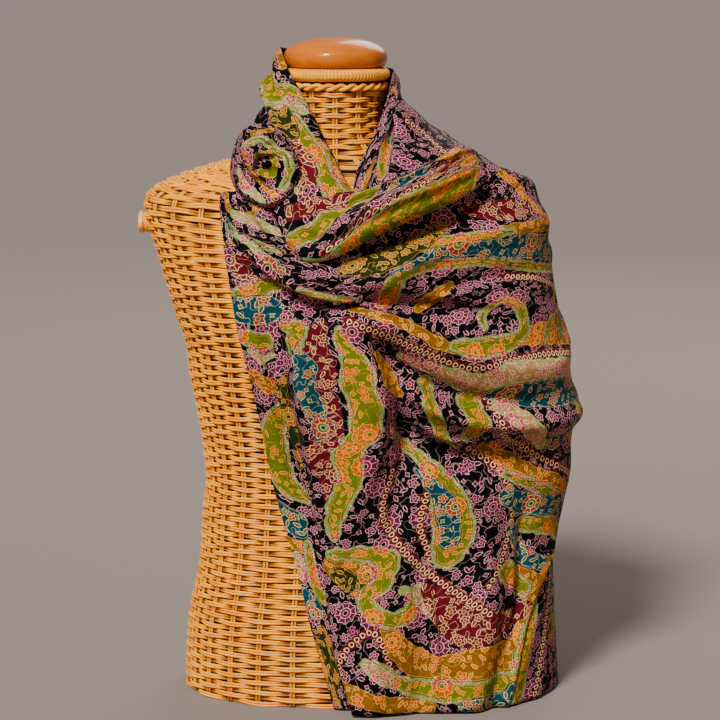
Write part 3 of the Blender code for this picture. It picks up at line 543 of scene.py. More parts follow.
bpy.ops.object.select_all(action="DESELECT")
radius, height = CAP_PROFILE[0]
bpy.ops.mesh.primitive_circle_add(vertices=CAP_SIDES, radius=radius * MM, fill_type="NGON",
                                  location=(PLACE[0] * MM, PLACE[1] * MM, CAP_BOTTOM * MM))
cap = bpy.context.object
cap.name = "lacquered_cap"
bpy.ops.object.mode_set(mode="EDIT")
last = len(CAP_PROFILE) - 1
for place in np.linspace(0, last, last * 3 + 1)[1:]:
    next_radius, next_height = (float(smooth(column, place)) for column in zip(*CAP_PROFILE))
    rise = (0, 0, (next_height - height) * MM)
    bpy.ops.mesh.extrude_region_move(TRANSFORM_OT_translate={"value": rise})
    bpy.ops.transform.resize(value=(next_radius / radius, next_radius / radius, 1.0))
    radius, height = next_radius, next_height
bpy.ops.mesh.inset(thickness=CAP_CROWN[0] * MM)
bpy.ops.transform.translate(value=(0, 0, CAP_CROWN[1] * MM))
bpy.ops.mesh.select_all(action="SELECT")
bpy.ops.mesh.normals_make_consistent(inside=False)
bpy.ops.object.mode_set(mode="OBJECT")
bpy.ops.object.transform_apply(location=True, rotation=True, scale=True)
bpy.ops.object.shade_smooth()
cap.data.materials.append(lacquer)
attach(cap, "root")
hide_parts("neck_cap")

# ---- Arm plates -----------------------------------------------------------------------------
# Where the arms would start, a small oval wooden disc closes each shoulder, on a short stem that
# is bound with rings of cane.
ARM_HEIGHT = 476.0
ARM_RISE, ARM_DEPTH = 11.0, 17.0
ARM_REACH = 197.5
PLATE_THICK = 4.6
PLATE_ROUNDING = 1.2
STEM_START = 182.0               # from here out its five rings of cane narrow a little
STEM_RINGS = 5
STEM_CANE = 1.6
DISC_TONE = (0.80, 0.44, 0.17)
DISC_GRAIN = (0.66, 0.32, 0.10)

beech, shader, wood = finish("pale_disc", Roughness=0.5, Coat_Weight=0.15)
figure = wood.stretched(6.0, 6.0, 1.0).noise(30.0, 3.0)
wear(shader, Base_Color=wood.colour(DISC_TONE).mix(figure.ramp(0.4, 0.7), DISC_GRAIN))

for name, way in (("left", -1), ("right", 1)):
    bpy.ops.object.select_all(action="DESELECT")
    middle = way * (ARM_REACH - PLATE_THICK / 2) + PLACE[0]
    bpy.ops.mesh.primitive_cylinder_add(
        vertices=40, radius=1.0, depth=PLATE_THICK * MM, rotation=(0.0, math.pi / 2, 0.0),
        location=(middle * MM, PLACE[1] * MM, ARM_HEIGHT * MM),
        scale=(ARM_RISE * MM, ARM_DEPTH * MM, 1.0))
    plate = bpy.context.object
    plate.name = "arm_disc_" + name
    bpy.ops.object.transform_apply(location=True, rotation=True, scale=True)
    rounding = plate.modifiers.new("rounding", "BEVEL")
    rounding.width = PLATE_ROUNDING * MM
    rounding.segments = 3
    bpy.ops.object.modifier_apply(modifier=rounding.name)
    bpy.ops.object.shade_smooth_by_angle(angle=math.radians(40))
    plate.data.materials.append(beech)
    turn = np.linspace(0, 2 * math.pi, 40)[None, :]
    steps = np.linspace(STEM_START, ARM_REACH - PLATE_THICK - 1.0, STEM_RINGS)[:, None]
    size = np.linspace(0.92, 0.8, STEM_RINGS)[:, None]
    paths = np.stack(np.broadcast_arrays(way * steps, size * ARM_DEPTH * np.cos(turn),
                                         ARM_HEIGHT + size * ARM_RISE * np.sin(turn)), axis=-1)
    outs = unit(paths * np.array([0.0, 1.0, 1.0]) - np.array([0.0, 0.0, ARM_HEIGHT]))
    stem = canes("arm_binding_" + name, paths, outs, STEM_CANE, sides=6, depth=STEM_SHADE)
    for piece, slot in ((plate, "turned_wood"), (stem, "wicker")):
        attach(piece, "root")
        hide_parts("arm_plate_" + name)

# ---- Back fall of the shawl -----------------------------------------------------------------
# The shawl is one long rectangle of fine twill wool, woven all over with paisleys. This stretch
# hangs from the nape and the covered shoulder down the back in long soft folds.
WALL = 2.0                 # the whole depth that a layer is given between its neighbours
CLOTH = 1.0                # thickness of the cloth itself
LAYER_STEP = 3.6
REST_GAP = 2.1
CROWDING = 1.5             # above 1, columns crowd towards the edge that shows
EDGE_ROLL = 3.0            # radius of a rolled or turned edge
ROLL_COLUMNS = 14          # the most columns that such an edge takes in
CURVE_STEPS = 40           # places along the curve of a fold
FAR = 300.0                # from outside all of the form, where a layer starts to be pushed home
FORM_NODES = ("form_basket", "neck_rim", "neck_cap", "arm_plate_left", "arm_plate_right")
# Rings of the big cape of cloth that hangs from the neck and the covered shoulder: height, right,
# left, front, back, roundness.
CAPE_RINGS = (
    (609, 56, 56, 54, 55, 2),
    (595, 62, 62, 56, 57, 2),
    (578, 80, 76, 63, 61, 2),
    (560, 99, 90, 72, 66, 2),
    (546, 128, 106, 82, 74, 2),
    (530, 153, 134, 90, 83, 2),
    (512, 181, 166, 98, 91, 2.05),
    (489, 199, 180, 105, 99, 2.15),
    (447, 207.5, 176, 119, 108, 2.25),
    (392, 217, 166, 129, 113, 2.3),
    (336, 228, 158, 131, 110, 2.3),
    (280, 236.5, 148, 127, 106, 2.25),
    (230, 232, 142, 120, 106, 2.2),
    (167, 221, 146, 118, 111, 2.2),
    (91, 224, 154, 124, 118, 2.2),
    (2, 229, 160, 128, 123, 2.2),
)
# Edges of its layers, one row for each ring, as angles round the axis from the front: front
# starts, front ends, back starts, back ends, under layer ends.
CAPE_EDGES = (
    (60, 165, 138, 232, 90),
    (54, 163, 136, 230, 90),
    (43, 160, 134, 226, 90),
    (34, 156, 130, 222, 90),
    (25, 152, 127, 218, 90),
    (19, 149, 124, 214, 90),
    (12, 146, 121, 211, 90),
    (3, 142, 117, 209, 90),
    (-1, 134, 109, 207, 90),
    (-16.5, 125, 100, 206, 88),
    (-18, 117, 92, 207, 86),
    (-15, 108, 83, 207, 84),
    (-11, 98, 72, 206, 80),
    (-5, 78, 58, 205, 77),
    (-2, 56, 44, 204, 72),
    (3, 45, 34, 203, 62),
)
# Folds: each follows a curve through four places, given as an angle, a height and how far it
# stands out there. The last two values say how far it reaches above and below its line.
CAPE_FOLDS = (
    ("valley under the roll", 0, 445, 0, 12.8, 465, -9, 27.8, 483, -9, 52.8, 500, 0, 12, 11),
    ("ridge over the crease", 3, 422, 3, 14.8, 441, 13, 31.2, 461, 12, 88, 474, 5, 13, 14),
    ("hollow over the crease", 22, 417, 0, 32.8, 423, -8, 45.5, 429, -8, 87, 432, 0, 11, 11),
    ("deep crease", -19.2, 411, -6, -0.8, 409, -20, 19, 406, -20, 47, 386, -3, 10, 9),
    ("second swag", 0.5, 401, 5, 14.8, 386, 15, 41.2, 346, 14, 87.2, 355, 4, 10, 19),
    ("below second swag", 4.2, 380, 0, 13, 351, -19, 26.5, 319, -17, 57.8, 306, -3, 11, 11),
    ("third swag", 9.5, 354, 0, 19.5, 313, 15, 39.5, 290, 15, 87, 285, 7, 12, 10),
    ("below third swag", 9.8, 314, 0, 20, 271, -16, 41.8, 260, -16, 86, 260, -4, 10, 22),
    ("front ridge", 1.8, 396, 2, 8.5, 337, 13, 7.8, 260, 11, 0.5, 167, 0, 9, 30),
    ("foot of front ridge", 1.8, 197, 0, 0.2, 137, 5, 1.8, 67, 4, 2.8, 17, 4, 12, 14),
    ("front hollow", 7, 369, 0, 12.8, 321, -13, 14, 243, -12, 10.5, 150, 0, 16, 9),
    ("edge ridge", -12.8, 401, 2, -10, 367, 6, -8.2, 298, 7, -4.5, 197, 0, 11, 11),
    ("tucked flank", -16.8, 406, -6, -15, 317, -14, -7.5, 176, -14, 0.2, 28, -8, 9, 11),
    ("lower ridge", 28.8, 244, 0, 37.8, 182, 6, 38.8, 91, 8, 33.5, 10, 8, 18, 18),
    ("lower hollow", 19.8, 211, 0, 22.2, 136, -6, 21.2, 66, -8, 19, 11, -8, 15, 15),
    ("side hollow", 51, 228, 0, 52.5, 156, -6, 46.5, 78, -7, 40.8, 4, -7, 13, 13),
    ("lip ridge", 71.8, 178, 0, 64.8, 111, 4, 53.8, 55, 5, 46.2, 2, 5, 11, 11),
    ("inner ridge", 12.5, 156, 0, 10.5, 98, 5, 9, 48, 7, 7.5, 13, 7, 14, 14),
    ("shoulder drop", 112, 508, 0, 124, 400, 10, 128, 220, 14, 116, 10, 14, 16, 16),
    ("hollow behind it", 128, 520, 0, 138, 400, -10, 142, 220, -12, 134, 10, -12, 13, 13),
    ("blade ridge", 142, 535, 0, 156, 400, 12, 161, 220, 15, 156, 10, 13, 15, 12),
    ("back hollow", 154, 545, 0, 172, 400, -9, 178, 220, -12, 177, 10, -12, 13, 14),
    ("back ridge", 165, 545, 0, 187, 400, 10, 194, 220, 12, 196, 10, 10, 12, 12),
    ("elbow ridge, behind", 88, 284, 0, 100, 296, 8, 112, 330, 7, 126, 390, 0, 13, 12),
    ("hollow over it", 88, 316, 0, 100, 330, -6, 112, 366, -6, 128, 430, 0, 12, 12),
    ("second swag, behind", 86, 352, 0, 98, 366, 7, 112, 400, 7, 130, 460, 0, 13, 13),
    ("upper swag, behind", 86, 448, 0, 102, 446, 7, 120, 470, 7, 142, 512, 0, 13, 13),
    ("shoulder ridge", 52, 548, 0, 70, 520, 7, 98, 505, 8, 132, 520, 0, 12, 12),
    ("nape ridge", 88, 568, 0, 106, 556, 5, 126, 548, 7, 154, 556, 0, 11, 11),
)
# Smaller creases between the folds, in the same columns.
SMALL_CREASES = (
    ("crease by the nape", 104, 590, 0, 118, 560, -3, 132, 500, -3, 140, 440, 0, 5, 5),
    ("crease on the blade", 148, 560, 0, 150, 470, 3, 150, 360, 3, 148, 250, 0, 6, 5),
    ("crease of the small back", 166, 470, 0, 168, 380, 3, 169, 260, 3, 168, 120, 0, 5, 6),
    ("drag to the neck", 200, 520, 0, 186, 480, 3, 172, 420, 3, 160, 340, 0, 5, 5),
    ("drag below it", 204, 460, 0, 190, 410, -3, 178, 350, -3, 170, 280, 0, 6, 5),
    ("foot crease", 184, 200, 0, 185, 140, -3, 186, 80, -4, 186, 10, -4, 6, 6),
    ("foot crease beside it", 148, 180, 0, 148, 120, -3, 149, 60, -4, 149, 10, -4, 6, 6),
    ("selvedge ripple", 203, 330, 0, 202, 250, 3, 202, 150, 4, 201, 20, 4, 5, 6),
)
BACK_SEAT = (0.0, -1.36, 0.0)     # how far the layer is pushed home on the form


def cape_point(station, angle):
    height, *reaches = (smooth(column, station) for column in zip(*CAPE_RINGS))
    x, y = round_point(*reaches, angle)
    return np.stack(np.broadcast_arrays(x, y, height), axis=-1)


def station_at(height):
    heights = [-row[0] for row in CAPE_RINGS]
    return np.interp(-height, heights, range(len(heights)))


def grid_normals(points):
    """Normals of a grid whose first axis runs to the right and second runs down."""
    return unit(np.cross(np.gradient(points, axis=1), np.gradient(points, axis=0)))


def cape_normal(station, angle):
    along = cape_point(station, angle + 0.4) - cape_point(station, angle - 0.4)
    down = cape_point(station + 0.02, angle) - cape_point(station - 0.02, angle)
    return unit(np.cross(down, along))


def fold_rise(points, normals, folds):
    """How far the folds lift each point of the cape off its plain rings."""
    total = np.zeros(points.shape[:-1])
    t = np.linspace(0, 3, CURVE_STEPS)[:, None]
    blend = np.hstack([(1 - t) * (2 - t) * (3 - t) / 6, t * (2 - t) * (3 - t) / 2,
                       t * (t - 1) * (3 - t) / 2, t * (t - 1) * (t - 2) / 6])
    for _, *numbers, above, below in folds:
        angle, height, rise = (blend @ np.array(numbers, float).reshape(4, 3)).T
        path = cape_point(station_at(height), angle)
        offsets = points[..., None, :] - path
        distance = np.linalg.norm(offsets, axis=-1)
        nearest = distance.argmin(axis=-1)
        step = np.gradient(path, axis=0)
        tangent = unit(step)[nearest]
        offset = np.take_along_axis(offsets, nearest[..., None, None], axis=-2)[..., 0, :]
        ahead = (tangent * offset).sum(-1)
        ahead = np.where(nearest == 0, np.maximum(ahead, 0), ahead)
        ahead = np.where(nearest == CURVE_STEPS - 1, np.minimum(ahead, 0), ahead)
        reach = np.sqrt(np.maximum(distance.min(axis=-1) ** 2 - ahead ** 2, 0))
        upward = (np.cross(normals, tangent) * offset).sum(-1) / np.maximum(reach, 1e-6)
        spread = below + (above - below) * (0.5 + 0.5 * upward)
        at = nearest + ahead / np.linalg.norm(step, axis=-1)[nearest]
        total += np.interp(at, range(CURVE_STEPS), rise) * np.exp(-(reach / spread) ** 2)
    return total


def solid_form(*names):
    """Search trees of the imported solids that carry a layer, in millimetres on the form's axis."""
    trees = []
    for name in names:
        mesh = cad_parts[name].data
        places = [Vector(vertex.co) / MM - Vector(PLACE) for vertex in mesh.vertices]
        faces = [tuple(face.vertices) for face in mesh.polygons]
        trees.append(BVHTree.FromPolygons(places, faces))
    return trees


def soften(field, rounds, least=None):
    """Evens out a field over a grid, round after round, without going under the least it may be."""
    for _ in range(rounds):
        padded = np.pad(field, 1, mode="edge")
        field = (padded[:-2, 1:-1] + padded[2:, 1:-1] + padded[1:-1, :-2] + padded[1:-1, 2:]) / 4
        if least is not None:
            field = np.maximum(least, field)
    return field


def settle(points, inward, carriers, clearance, rounds, finer):
    """Lifts a fine grid off what lies below it, found on a coarser grid, and keeps it soft."""
    coarse = points[::finer, ::finer]
    ways = inward[::finer, ::finer]
    lift = np.zeros(coarse.shape[:2])
    for index in np.ndindex(lift.shape):
        direction = Vector(ways[index])
        start = Vector(coarse[index]) - direction * FAR
        for tree in carriers:
            hit = tree.ray_cast(start, direction, FAR + clearance)
            if hit[3] is not None:
                lift[index] = max(lift[index], FAR + clearance - hit[3])
    spread = np.pad(lift, 1, mode="edge")
    spread = np.maximum(np.maximum(spread[:-2], spread[1:-1]), spread[2:])
    lift = np.maximum(np.maximum(spread[:, :-2], spread[:, 1:-1]), spread[:, 2:])
    lift = soften(soften(lift, rounds, lift), 3)
    rows = np.linspace(0, lift.shape[0] - 1, points.shape[0])
    columns = np.linspace(0, lift.shape[1] - 1, points.shape[1])
    half = np.array([np.interp(columns, range(lift.shape[1]), line) for line in lift])
    fine = np.array([np.interp(rows, range(lift.shape[0]), line) for line in half.T]).T
    return points - inward * soften(fine, 3 * finer)[..., None]


def roll_edge(points, end):
    """Turns one upright edge of a grid inwards, as a folded or rolled edge turns."""
    lines, inward = points, -grid_normals(points)
    if end:
        lines, inward = lines[::-1], inward[::-1]
    reach = np.cumsum(np.linalg.norm(np.diff(lines[:ROLL_COLUMNS], axis=0), axis=-1), axis=0)
    for row in range(ROLL_COLUMNS):
        away = reach[row - 1] if row else np.zeros(lines.shape[1])
        short = np.clip(EDGE_ROLL - away, 0, None)
        drop = EDGE_ROLL - np.sqrt(np.clip(EDGE_ROLL ** 2 - short ** 2, 0, None))
        lines[row] += inward[row] * drop[..., None]


def cape_sheet(starts, ends, stations, columns, finer, offset, creases, carriers, seat, rolled):
    """Outer points of a layer of the cape between its two edges: folded, settled on what carries
    it, pushed home by its seat, and with its start edge (False), its end edge (True) or both
    rolled in. Each of its columns and rows is split into finer ones."""
    places = np.arange((len(stations) - 1) * finer + 1) / finer
    station = np.interp(places, range(len(stations)), stations)[None, :]
    across = np.linspace(0, 1, columns * finer + 1)[:, None] ** CROWDING
    start = smooth(starts, station)
    end = smooth(ends, station)
    angle = start + (end - start) * across
    station = np.broadcast_to(station, angle.shape)
    plain = cape_point(station, angle)
    normals = cape_normal(station, angle)
    plain = plain + normals * (fold_rise(plain, normals, CAPE_FOLDS) + offset)[..., None]
    points = settle(plain, -normals, solid_form(*carriers), WALL + REST_GAP, rounds=4, finer=finer)
    points = points + np.array(seat) + normals * fold_rise(plain, normals, creases)[..., None]
    for end in rolled:
        roll_edge(points, end)
    return points


def flat_map(points):
    """Where each point of a folded grid lies on the flat cloth, in millimetres."""
    across = np.linalg.norm(np.diff(points, axis=0), axis=-1)
    down = np.linalg.norm(np.diff(points, axis=1), axis=-1)
    u = np.concatenate([np.zeros((1, points.shape[1])), np.cumsum(across, axis=0)])
    v = np.concatenate([np.zeros((points.shape[0], 1)), np.cumsum(down, axis=1)], axis=1)
    u = u - u.mean(axis=0, keepdims=True)
    return np.stack(np.broadcast_arrays(u, v.mean(axis=0, keepdims=True)), axis=-1)


# The dyes of the weave: each ground with its cloth, its petals, its second petals and its outlines.
WEAVE_DYES = (
    ("black", "#020102", "#581232", "#74203e", "#e6a4a8"),
    ("maroon", "#560616", "#66141e", "#8c3a20", "#eecb90"),
    ("ochre", "#764a04", "#b04604", "#cc6808", "#fcb850"),
    ("olive", "#566002", "#a85004", "#cc6406", "#fca438"),
    ("teal", "#043a44", "#8e2e1c", "#5c6414", "#ecc88c"),
    ("mint", "#7a9448", "#a84844", "#bc6450", "#f4ceaa"),
    ("forest", "#1a2608", "#884e1a", "#5e6420", "#f0a03c"),
)
CLOTH_DYE, PETAL_DYE, OTHER_DYE, LINE_DYE = 1, 2, 3, 4     # its columns
BLUSH_DYE = "#a46c44"
DOT_DYE = "#6e1c20"
SHADOW = (0.012, 0.006, 0.008)
FADED = (0.7, 0.66, 0.62)
MINT_RIM = 4.2             # the pale rim of an olive shape, in millimetres
HEART_PITCH = 7.0          # from one heart to the next along a maroon band
HEART_HALF = 2.3
EDGING_HALF = 3.4          # half the width of a maroon band's plain middle
LINE = 0.23                # half the width of a woven outline
TOOTH = 6.0                # how far the steps along the edges of the woven leaves reach
NO_SPOT = 40.0             # takes a spot off the cloth
NOWHERE = 30.0             # further from an edge than any place is
# What strokes are painted in, three to a set that a piece keeps.
STROKE_SETS = ("dye_first", "dye_second", "dye_third")
STROKES = ("maroon", "ochre", "olive", "teal", "mint", "forest", "black", "wine", "leaf")
# The order in which they cover each other: which stroke, how far inside its edge, and its ground.
COVERS = (("maroon", 0.0, "maroon"), ("ochre", 0.0, "ochre"), ("olive", 0.0, "mint"),
          ("olive", MINT_RIM, "olive"), ("teal", 0.0, "teal"), ("mint", 0.0, "mint"),
          ("forest", 0.0, "forest"), ("black", 0.0, "black"), ("wine", 0.0, "maroon"),
          ("leaf", 0.0, "olive"))
GROUNDS = {row[0]: number for number, row in enumerate(WEAVE_DYES)}


def dye(code):
    """A dye's linear colour from its shade card code."""
    parts = [int(code[k:k + 2], 16) / 255 for k in (1, 3, 5)]
    return tuple(c / 12.92 if c <= 0.04045 else ((c + 0.055) / 1.055) ** 2.4 for c in parts)


def shade_card(column):
    """The colour that each ground takes from one column of the table of dyes."""
    count = len(WEAVE_DYES)
    stops = [(max(number - 0.5, 0) / count, dye(row[column]))
             for number, row in enumerate(WEAVE_DYES)]
    return kind.node("ShaderNodeValToRGB", {"stops": ("CONSTANT", *stops)}, {0: kind * (1 / count)})


def sprigs(cell, jitter):
    """One spot to a cell: its local place turned at random, the reach from it, and its chances."""
    scaled = thread.scaled(1 / cell)
    spot = thread.node("ShaderNodeTexVoronoi", {"voronoi_dimensions": "2D", "feature": "F1"},
                       {"Vector": scaled, "Scale": 1.0, "Randomness": jitter})
    local = thread.node("ShaderNodeVectorMath", {"operation": "SUBTRACT"},
                        {0: scaled, 1: spot.out("Position")})
    chance = spot.out("Color")
    turn = thread.maths("ARCTAN2", local.part(1), local.part(0)) + chance.part(0) * (2 * math.pi)
    return turn, spot.out("Distance") * cell, chance


def blossom(turn, reach, radius, petals, scallop):
    """How far inside a scalloped blossom each place is, in millimetres."""
    lobes = turn.maths("COSINE", turn * petals)
    return radius * (lobes * (scallop / 2) + (1 - scallop / 2)) - reach


def leaf(turn, reach, length, width):
    """How far inside a pointed leaf each place is, in millimetres."""
    along = reach * turn.maths("COSINE", turn)
    aside = abs(reach * turn.maths("SINE", turn))
    return (1 - along * along / length ** 2) * width - aside


def line(edge, half=LINE):
    """A woven outline along an edge."""
    return 1 - abs(edge).ramp(half, half + 0.16)


def filled(edge):
    return edge.ramp(0.0, 0.22)


def is_ground(name):
    """1 on one of the grounds."""
    return 1 - abs(kind - GROUNDS[name]).ramp(0.3, 0.6)


def either(*masks):
    """1 wherever one of the masks is."""
    joined = masks[0]
    for mask in masks[1:]:
        joined = joined.maths("MAXIMUM", joined, mask)
    return joined


wool, wool_shader, place = finish("paisley_wool", Roughness=0.68, Specular_IOR_Level=0.05,
                                  Sheen_Weight=0.01, Sheen_Roughness=0.5)
# The cloth's own map is in metres, and the pattern is worked out in millimetres.
thread = place.node("ShaderNodeUVMap", {"uv_map": "cloth_map"}).scaled(1 / MM)
wander = thread.scaled(1 / 13.0)
drift = wander.noise(1.0, 1.0)
teeth = (wander.noise(1.3, 0.5) - 0.5) * TOOTH
sets = [thread.stored(name) for name in STROKE_SETS]
kind = sets[0].part(0) * 0.0       # the number of the ground that lies at each place
deep = kind + NOWHERE              # how far each place is from the edge of the shape it lies in
for stroke, edge, ground in COVERS:
    number = STROKES.index(stroke)
    inside = sets[number // 3].part(number % 3) + teeth - edge
    over = inside > 0.0
    kind = kind + (GROUNDS[ground] - kind) * over
    outside = kind.maths("MINIMUM", deep, inside * -1.0)
    deep = outside + (inside - outside) * over

# The broad pale shapes blush to rose away from their green rims.
pale_ground = is_ground("mint")
blush = pale_ground * deep.ramp(1.8, 4.2)
cloth_tone = shade_card(CLOTH_DYE).mix(blush * 0.8, dye(BLUSH_DYE))
petal_tone = shade_card(PETAL_DYE)
other_tone = shade_card(OTHER_DYE)
line_tone = shade_card(LINE_DYE)

# Large blossoms, with a ring and a core that spokes join.
turn, reach, chance = sprigs(36.0, 0.72)
radius = chance.part(1) * 3.6 + 10.0
large = blossom(turn, reach, radius, 9.0, 0.14) - (chance.part(2) > 0.52) * NO_SPOT
ring = reach - radius * 0.48
core = reach - radius * 0.22
spokes = 1 - (abs(turn.maths("SINE", turn * 4.5)) * reach * (1 / 4.5)).ramp(0.16, 0.42)
beyond = 1 - large.ramp(-1.6, -1.2)
large_line = either(line(large), line(ring, 0.26), line(core, 0.2), spokes * filled(ring) * 0.85)
large_line = large_line * large.ramp(-0.5, -0.3)

# Small blossoms, clear of the large ones.
turn, reach, chance = sprigs(17.0, 0.8)
radius = chance.part(1) * 2.0 + 4.2
small = blossom(turn, reach, radius, 5.0, 0.34) - (chance.part(2) > 0.56) * NO_SPOT
small_heart = reach - radius * 0.34
clear_small = (1 - small.ramp(-1.3, -1.0)) * beyond
small_line = either(line(small), line(small_heart, 0.16) * 0.8)
small_line = small_line * small.ramp(-0.5, -0.3) * beyond

# Buds and little leaves between them, fewer where the cloth blushes.
turn, reach, chance = sprigs(8.6, 0.72)
bud = blossom(turn, reach, chance.part(1) * 1.1 + 2.3, 4.0, 0.46)
frond = leaf(turn, reach, 4.4, 1.7)
leafy = chance.part(2) > 0.45
bud = bud + (frond - bud) * leafy - (chance.part(1) - blush * 0.3 > 0.62) * NO_SPOT
bud_line = line(bud, 0.2) * clear_small

# Along the middle of every maroon band runs a row of small hearts, each with a dark middle.
chain = thread.stored("chain")
across = chain.maths("MODULO", chain.part(0), HEART_PITCH) - HEART_PITCH / 2
aside = abs(chain.part(1) - 0.2) + across * 0.35
beads = 1 - chain.maths("SQRT", across * across + aside * aside) * (1 / HEART_HALF)
on_band = chain.part(2) * is_ground("maroon")
edging = on_band * (1 - abs(chain.part(1)).ramp(EDGING_HALF, EDGING_HALF + 0.4))
bead_line = on_band * (1 - abs(beads).ramp(0.12, 0.26))
plain_band = 1 - edging
coloured = kind.ramp(0.2, 0.6)     # 1 on every ground but the black

# Thin wandering vines go in first, and each figure over what is already woven.
vines = (1 - abs(drift - 0.5).ramp(0.005, 0.015)) * clear_small * plain_band
bud_body = filled(bud) * clear_small * plain_band * (coloured * 0.45 + 0.2)
weave_tone = cloth_tone
for mask, tone in (
        (vines * 0.35, line_tone),
        (bud_body, other_tone),
        (bud_line * plain_band, line_tone),
        (filled(small) * beyond, petal_tone),
        ((1 - small_heart.ramp(-0.3, -0.1)) * beyond * filled(small), other_tone),
        (small_line, line_tone),
        (filled(large), petal_tone),
        ((1 - ring.ramp(-0.2, 0.0)) * filled(large), other_tone),
        ((1 - core.ramp(-0.2, 0.0)) * filled(large), cloth_tone),
        (large_line, line_tone)):
    weave_tone = weave_tone.mix(mask, tone)

# The pale rims of the olive shapes carry a row of dots, and every other shape a fine contour.
turn, reach, chance = sprigs(2.7, 0.3)
olive = sets[0].part(2)
in_rim = 1 - (olive + teeth).ramp(MINT_RIM + 0.1, MINT_RIM + 0.3)
dots = (1 - abs(reach - 0.75).ramp(0.22, 0.42)) * pale_ground * in_rim * olive.ramp(-3.0, -2.5)
contour = 1 - abs(deep - 1.05).ramp(0.14, 0.34)
faded = thread.scaled(1 / 30.0).noise(1.0, 3.0)
weave_tone = weave_tone.mix(dots * 0.65, dye(DOT_DYE))
weave_tone = weave_tone.mix(contour * (1 - pale_ground) * (1 - on_band) * coloured * 0.4, line_tone)
weave_tone = weave_tone.mix((1 - deep.ramp(0.15, 0.5)) * 0.75, SHADOW)
weave_tone = weave_tone.mix(edging, cloth_tone)
weave_tone = weave_tone.mix(bead_line, line_tone)
weave_tone = weave_tone.mix(faded.ramp(0.4, 0.7) * 0.35, weave_tone.tint(FADED))
twill = thread.node("ShaderNodeTexWave", {"bands_direction": "DIAGONAL"},
                    {"Vector": thread, "Scale": 0.55, "Distortion": 0.6, "Detail": 1.0}, 1)
relief = (bud_line + small_line + large_line) * 0.6 + twill * 0.35
wear(wool_shader, Base_Color=weave_tone, Normal=relief.bump(0.35))

WIDE_BAND = 5.6            # a maroon shape of a greater half width has no row of hearts
STROKE_STEPS = 7           # steps along a stroke from one of its places to the next


def paint(flat, strokes):
    """How far inside the shapes of each dye every place of a piece lies, three dyes to a set. Each
    stroke runs through places in hundredths of the piece, with its half width in millimetres."""
    fields = {name: np.full(flat.shape[:2], -NOWHERE) for name in STROKES}
    last = np.array(flat.shape[:2]) - 1
    chain = np.zeros((*flat.shape[:2], 3))
    nearest = np.full(flat.shape[:2], np.inf)
    for name, *numbers in strokes:
        across, down, half = np.array(numbers, float).reshape(-1, 3).T
        at = np.stack([across, down], axis=-1) / 100 * last
        cell = np.clip(at.astype(int), 0, last - 1)
        i, j = cell.T
        s, t = (at - cell).T[..., None]
        place = ((1 - s) * (1 - t) * flat[i, j] + s * (1 - t) * flat[i + 1, j]
                 + (1 - s) * t * flat[i, j + 1] + s * t * flat[i + 1, j + 1])
        steps = np.linspace(0, len(half) - 1, STROKE_STEPS * (len(half) - 1) + 1)
        spine = np.stack([smooth(column, steps) for column in (*place.T, half)], axis=-1)
        run = 0.0
        for start, end in zip(spine, spine[1:]):
            way = (end - start)[:2]
            length = max(math.hypot(*way), 1e-3)
            share = np.clip(((flat - start[:2]) @ way) / length ** 2, 0, 1)
            offset = flat - start[:2] - share[..., None] * way
            away = np.linalg.norm(offset, axis=-1)
            inside = start[2] + share * (end[2] - start[2]) - away
            fields[name] = np.maximum(fields[name], inside)
            if name == "maroon" and half.max() < WIDE_BAND:
                side = np.where(offset @ np.array((-way[1], way[0])) < 0, -away, away)
                closer = away < nearest
                nearest = np.where(closer, away, nearest)
                here = np.stack(np.broadcast_arrays(run + share * length, side, 1.0), axis=-1)
                chain[closer] = here[closer]
            run += length
    values = {}
    for number, name in enumerate(STROKE_SETS):
        names = STROKES[3 * number:3 * number + 3]
        values[name] = np.stack([fields[stroke].ravel() for stroke in names], axis=-1)
    values["chain"] = chain.reshape(-1, 3)
    return values


def cloth_piece(name, points, strokes, outward, flat=None):
    """One layer of cloth from a grid of its outer points, with strokes of dye on its flat map."""
    flat = flat_map(points) if flat is None else flat
    columns, rows = points.shape[:2]
    index = np.arange(columns * rows).reshape(columns, rows)
    quads = np.stack([index[:-1, :-1], index[:-1, 1:], index[1:, 1:], index[1:, :-1]], axis=-1)
    quads = quads.reshape(-1, 4)
    if (grid_normals(points) * outward(points)).sum() < 0:
        quads = quads[:, ::-1]
    piece = new_piece(name, points, quads.tolist(), wool)
    layer = piece.data.uv_layers.new(name="cloth_map")
    loops = np.zeros(len(piece.data.loops), np.int32)
    piece.data.loops.foreach_get("vertex_index", loops)
    layer.data.foreach_set("uv", (flat.reshape(-1, 2)[loops] * MM).astype(np.float32).ravel())
    for attribute, values in paint(flat, strokes).items():
        put_values(piece, attribute, "FLOAT_VECTOR", values)
    bpy.context.view_layer.objects.active = piece
    shell = piece.modifiers.new("thickness", "SOLIDIFY")
    shell.thickness = CLOTH * MM
    shell.offset = -1.0
    bpy.ops.object.modifier_apply(modifier=shell.name)
    piece.data.shade_smooth()
    return piece


def outward_round(points):
    return unit(points * np.array([1.0, 1.0, 0.0]))


def outward_front(points):
    return np.broadcast_to(np.array([0.0, -1.0, 0.0]), points.shape)


# A paisley is a drop with a bent tip: across, down and half its width, in shares of its size.
DROP = ((0.0, 0.0, 0.42), (0.02, -0.35, 0.36), (-0.08, -0.70, 0.24), (-0.30, -0.98, 0.13),
        (-0.56, -1.05, 0.07), (-0.72, -0.86, 0.05))
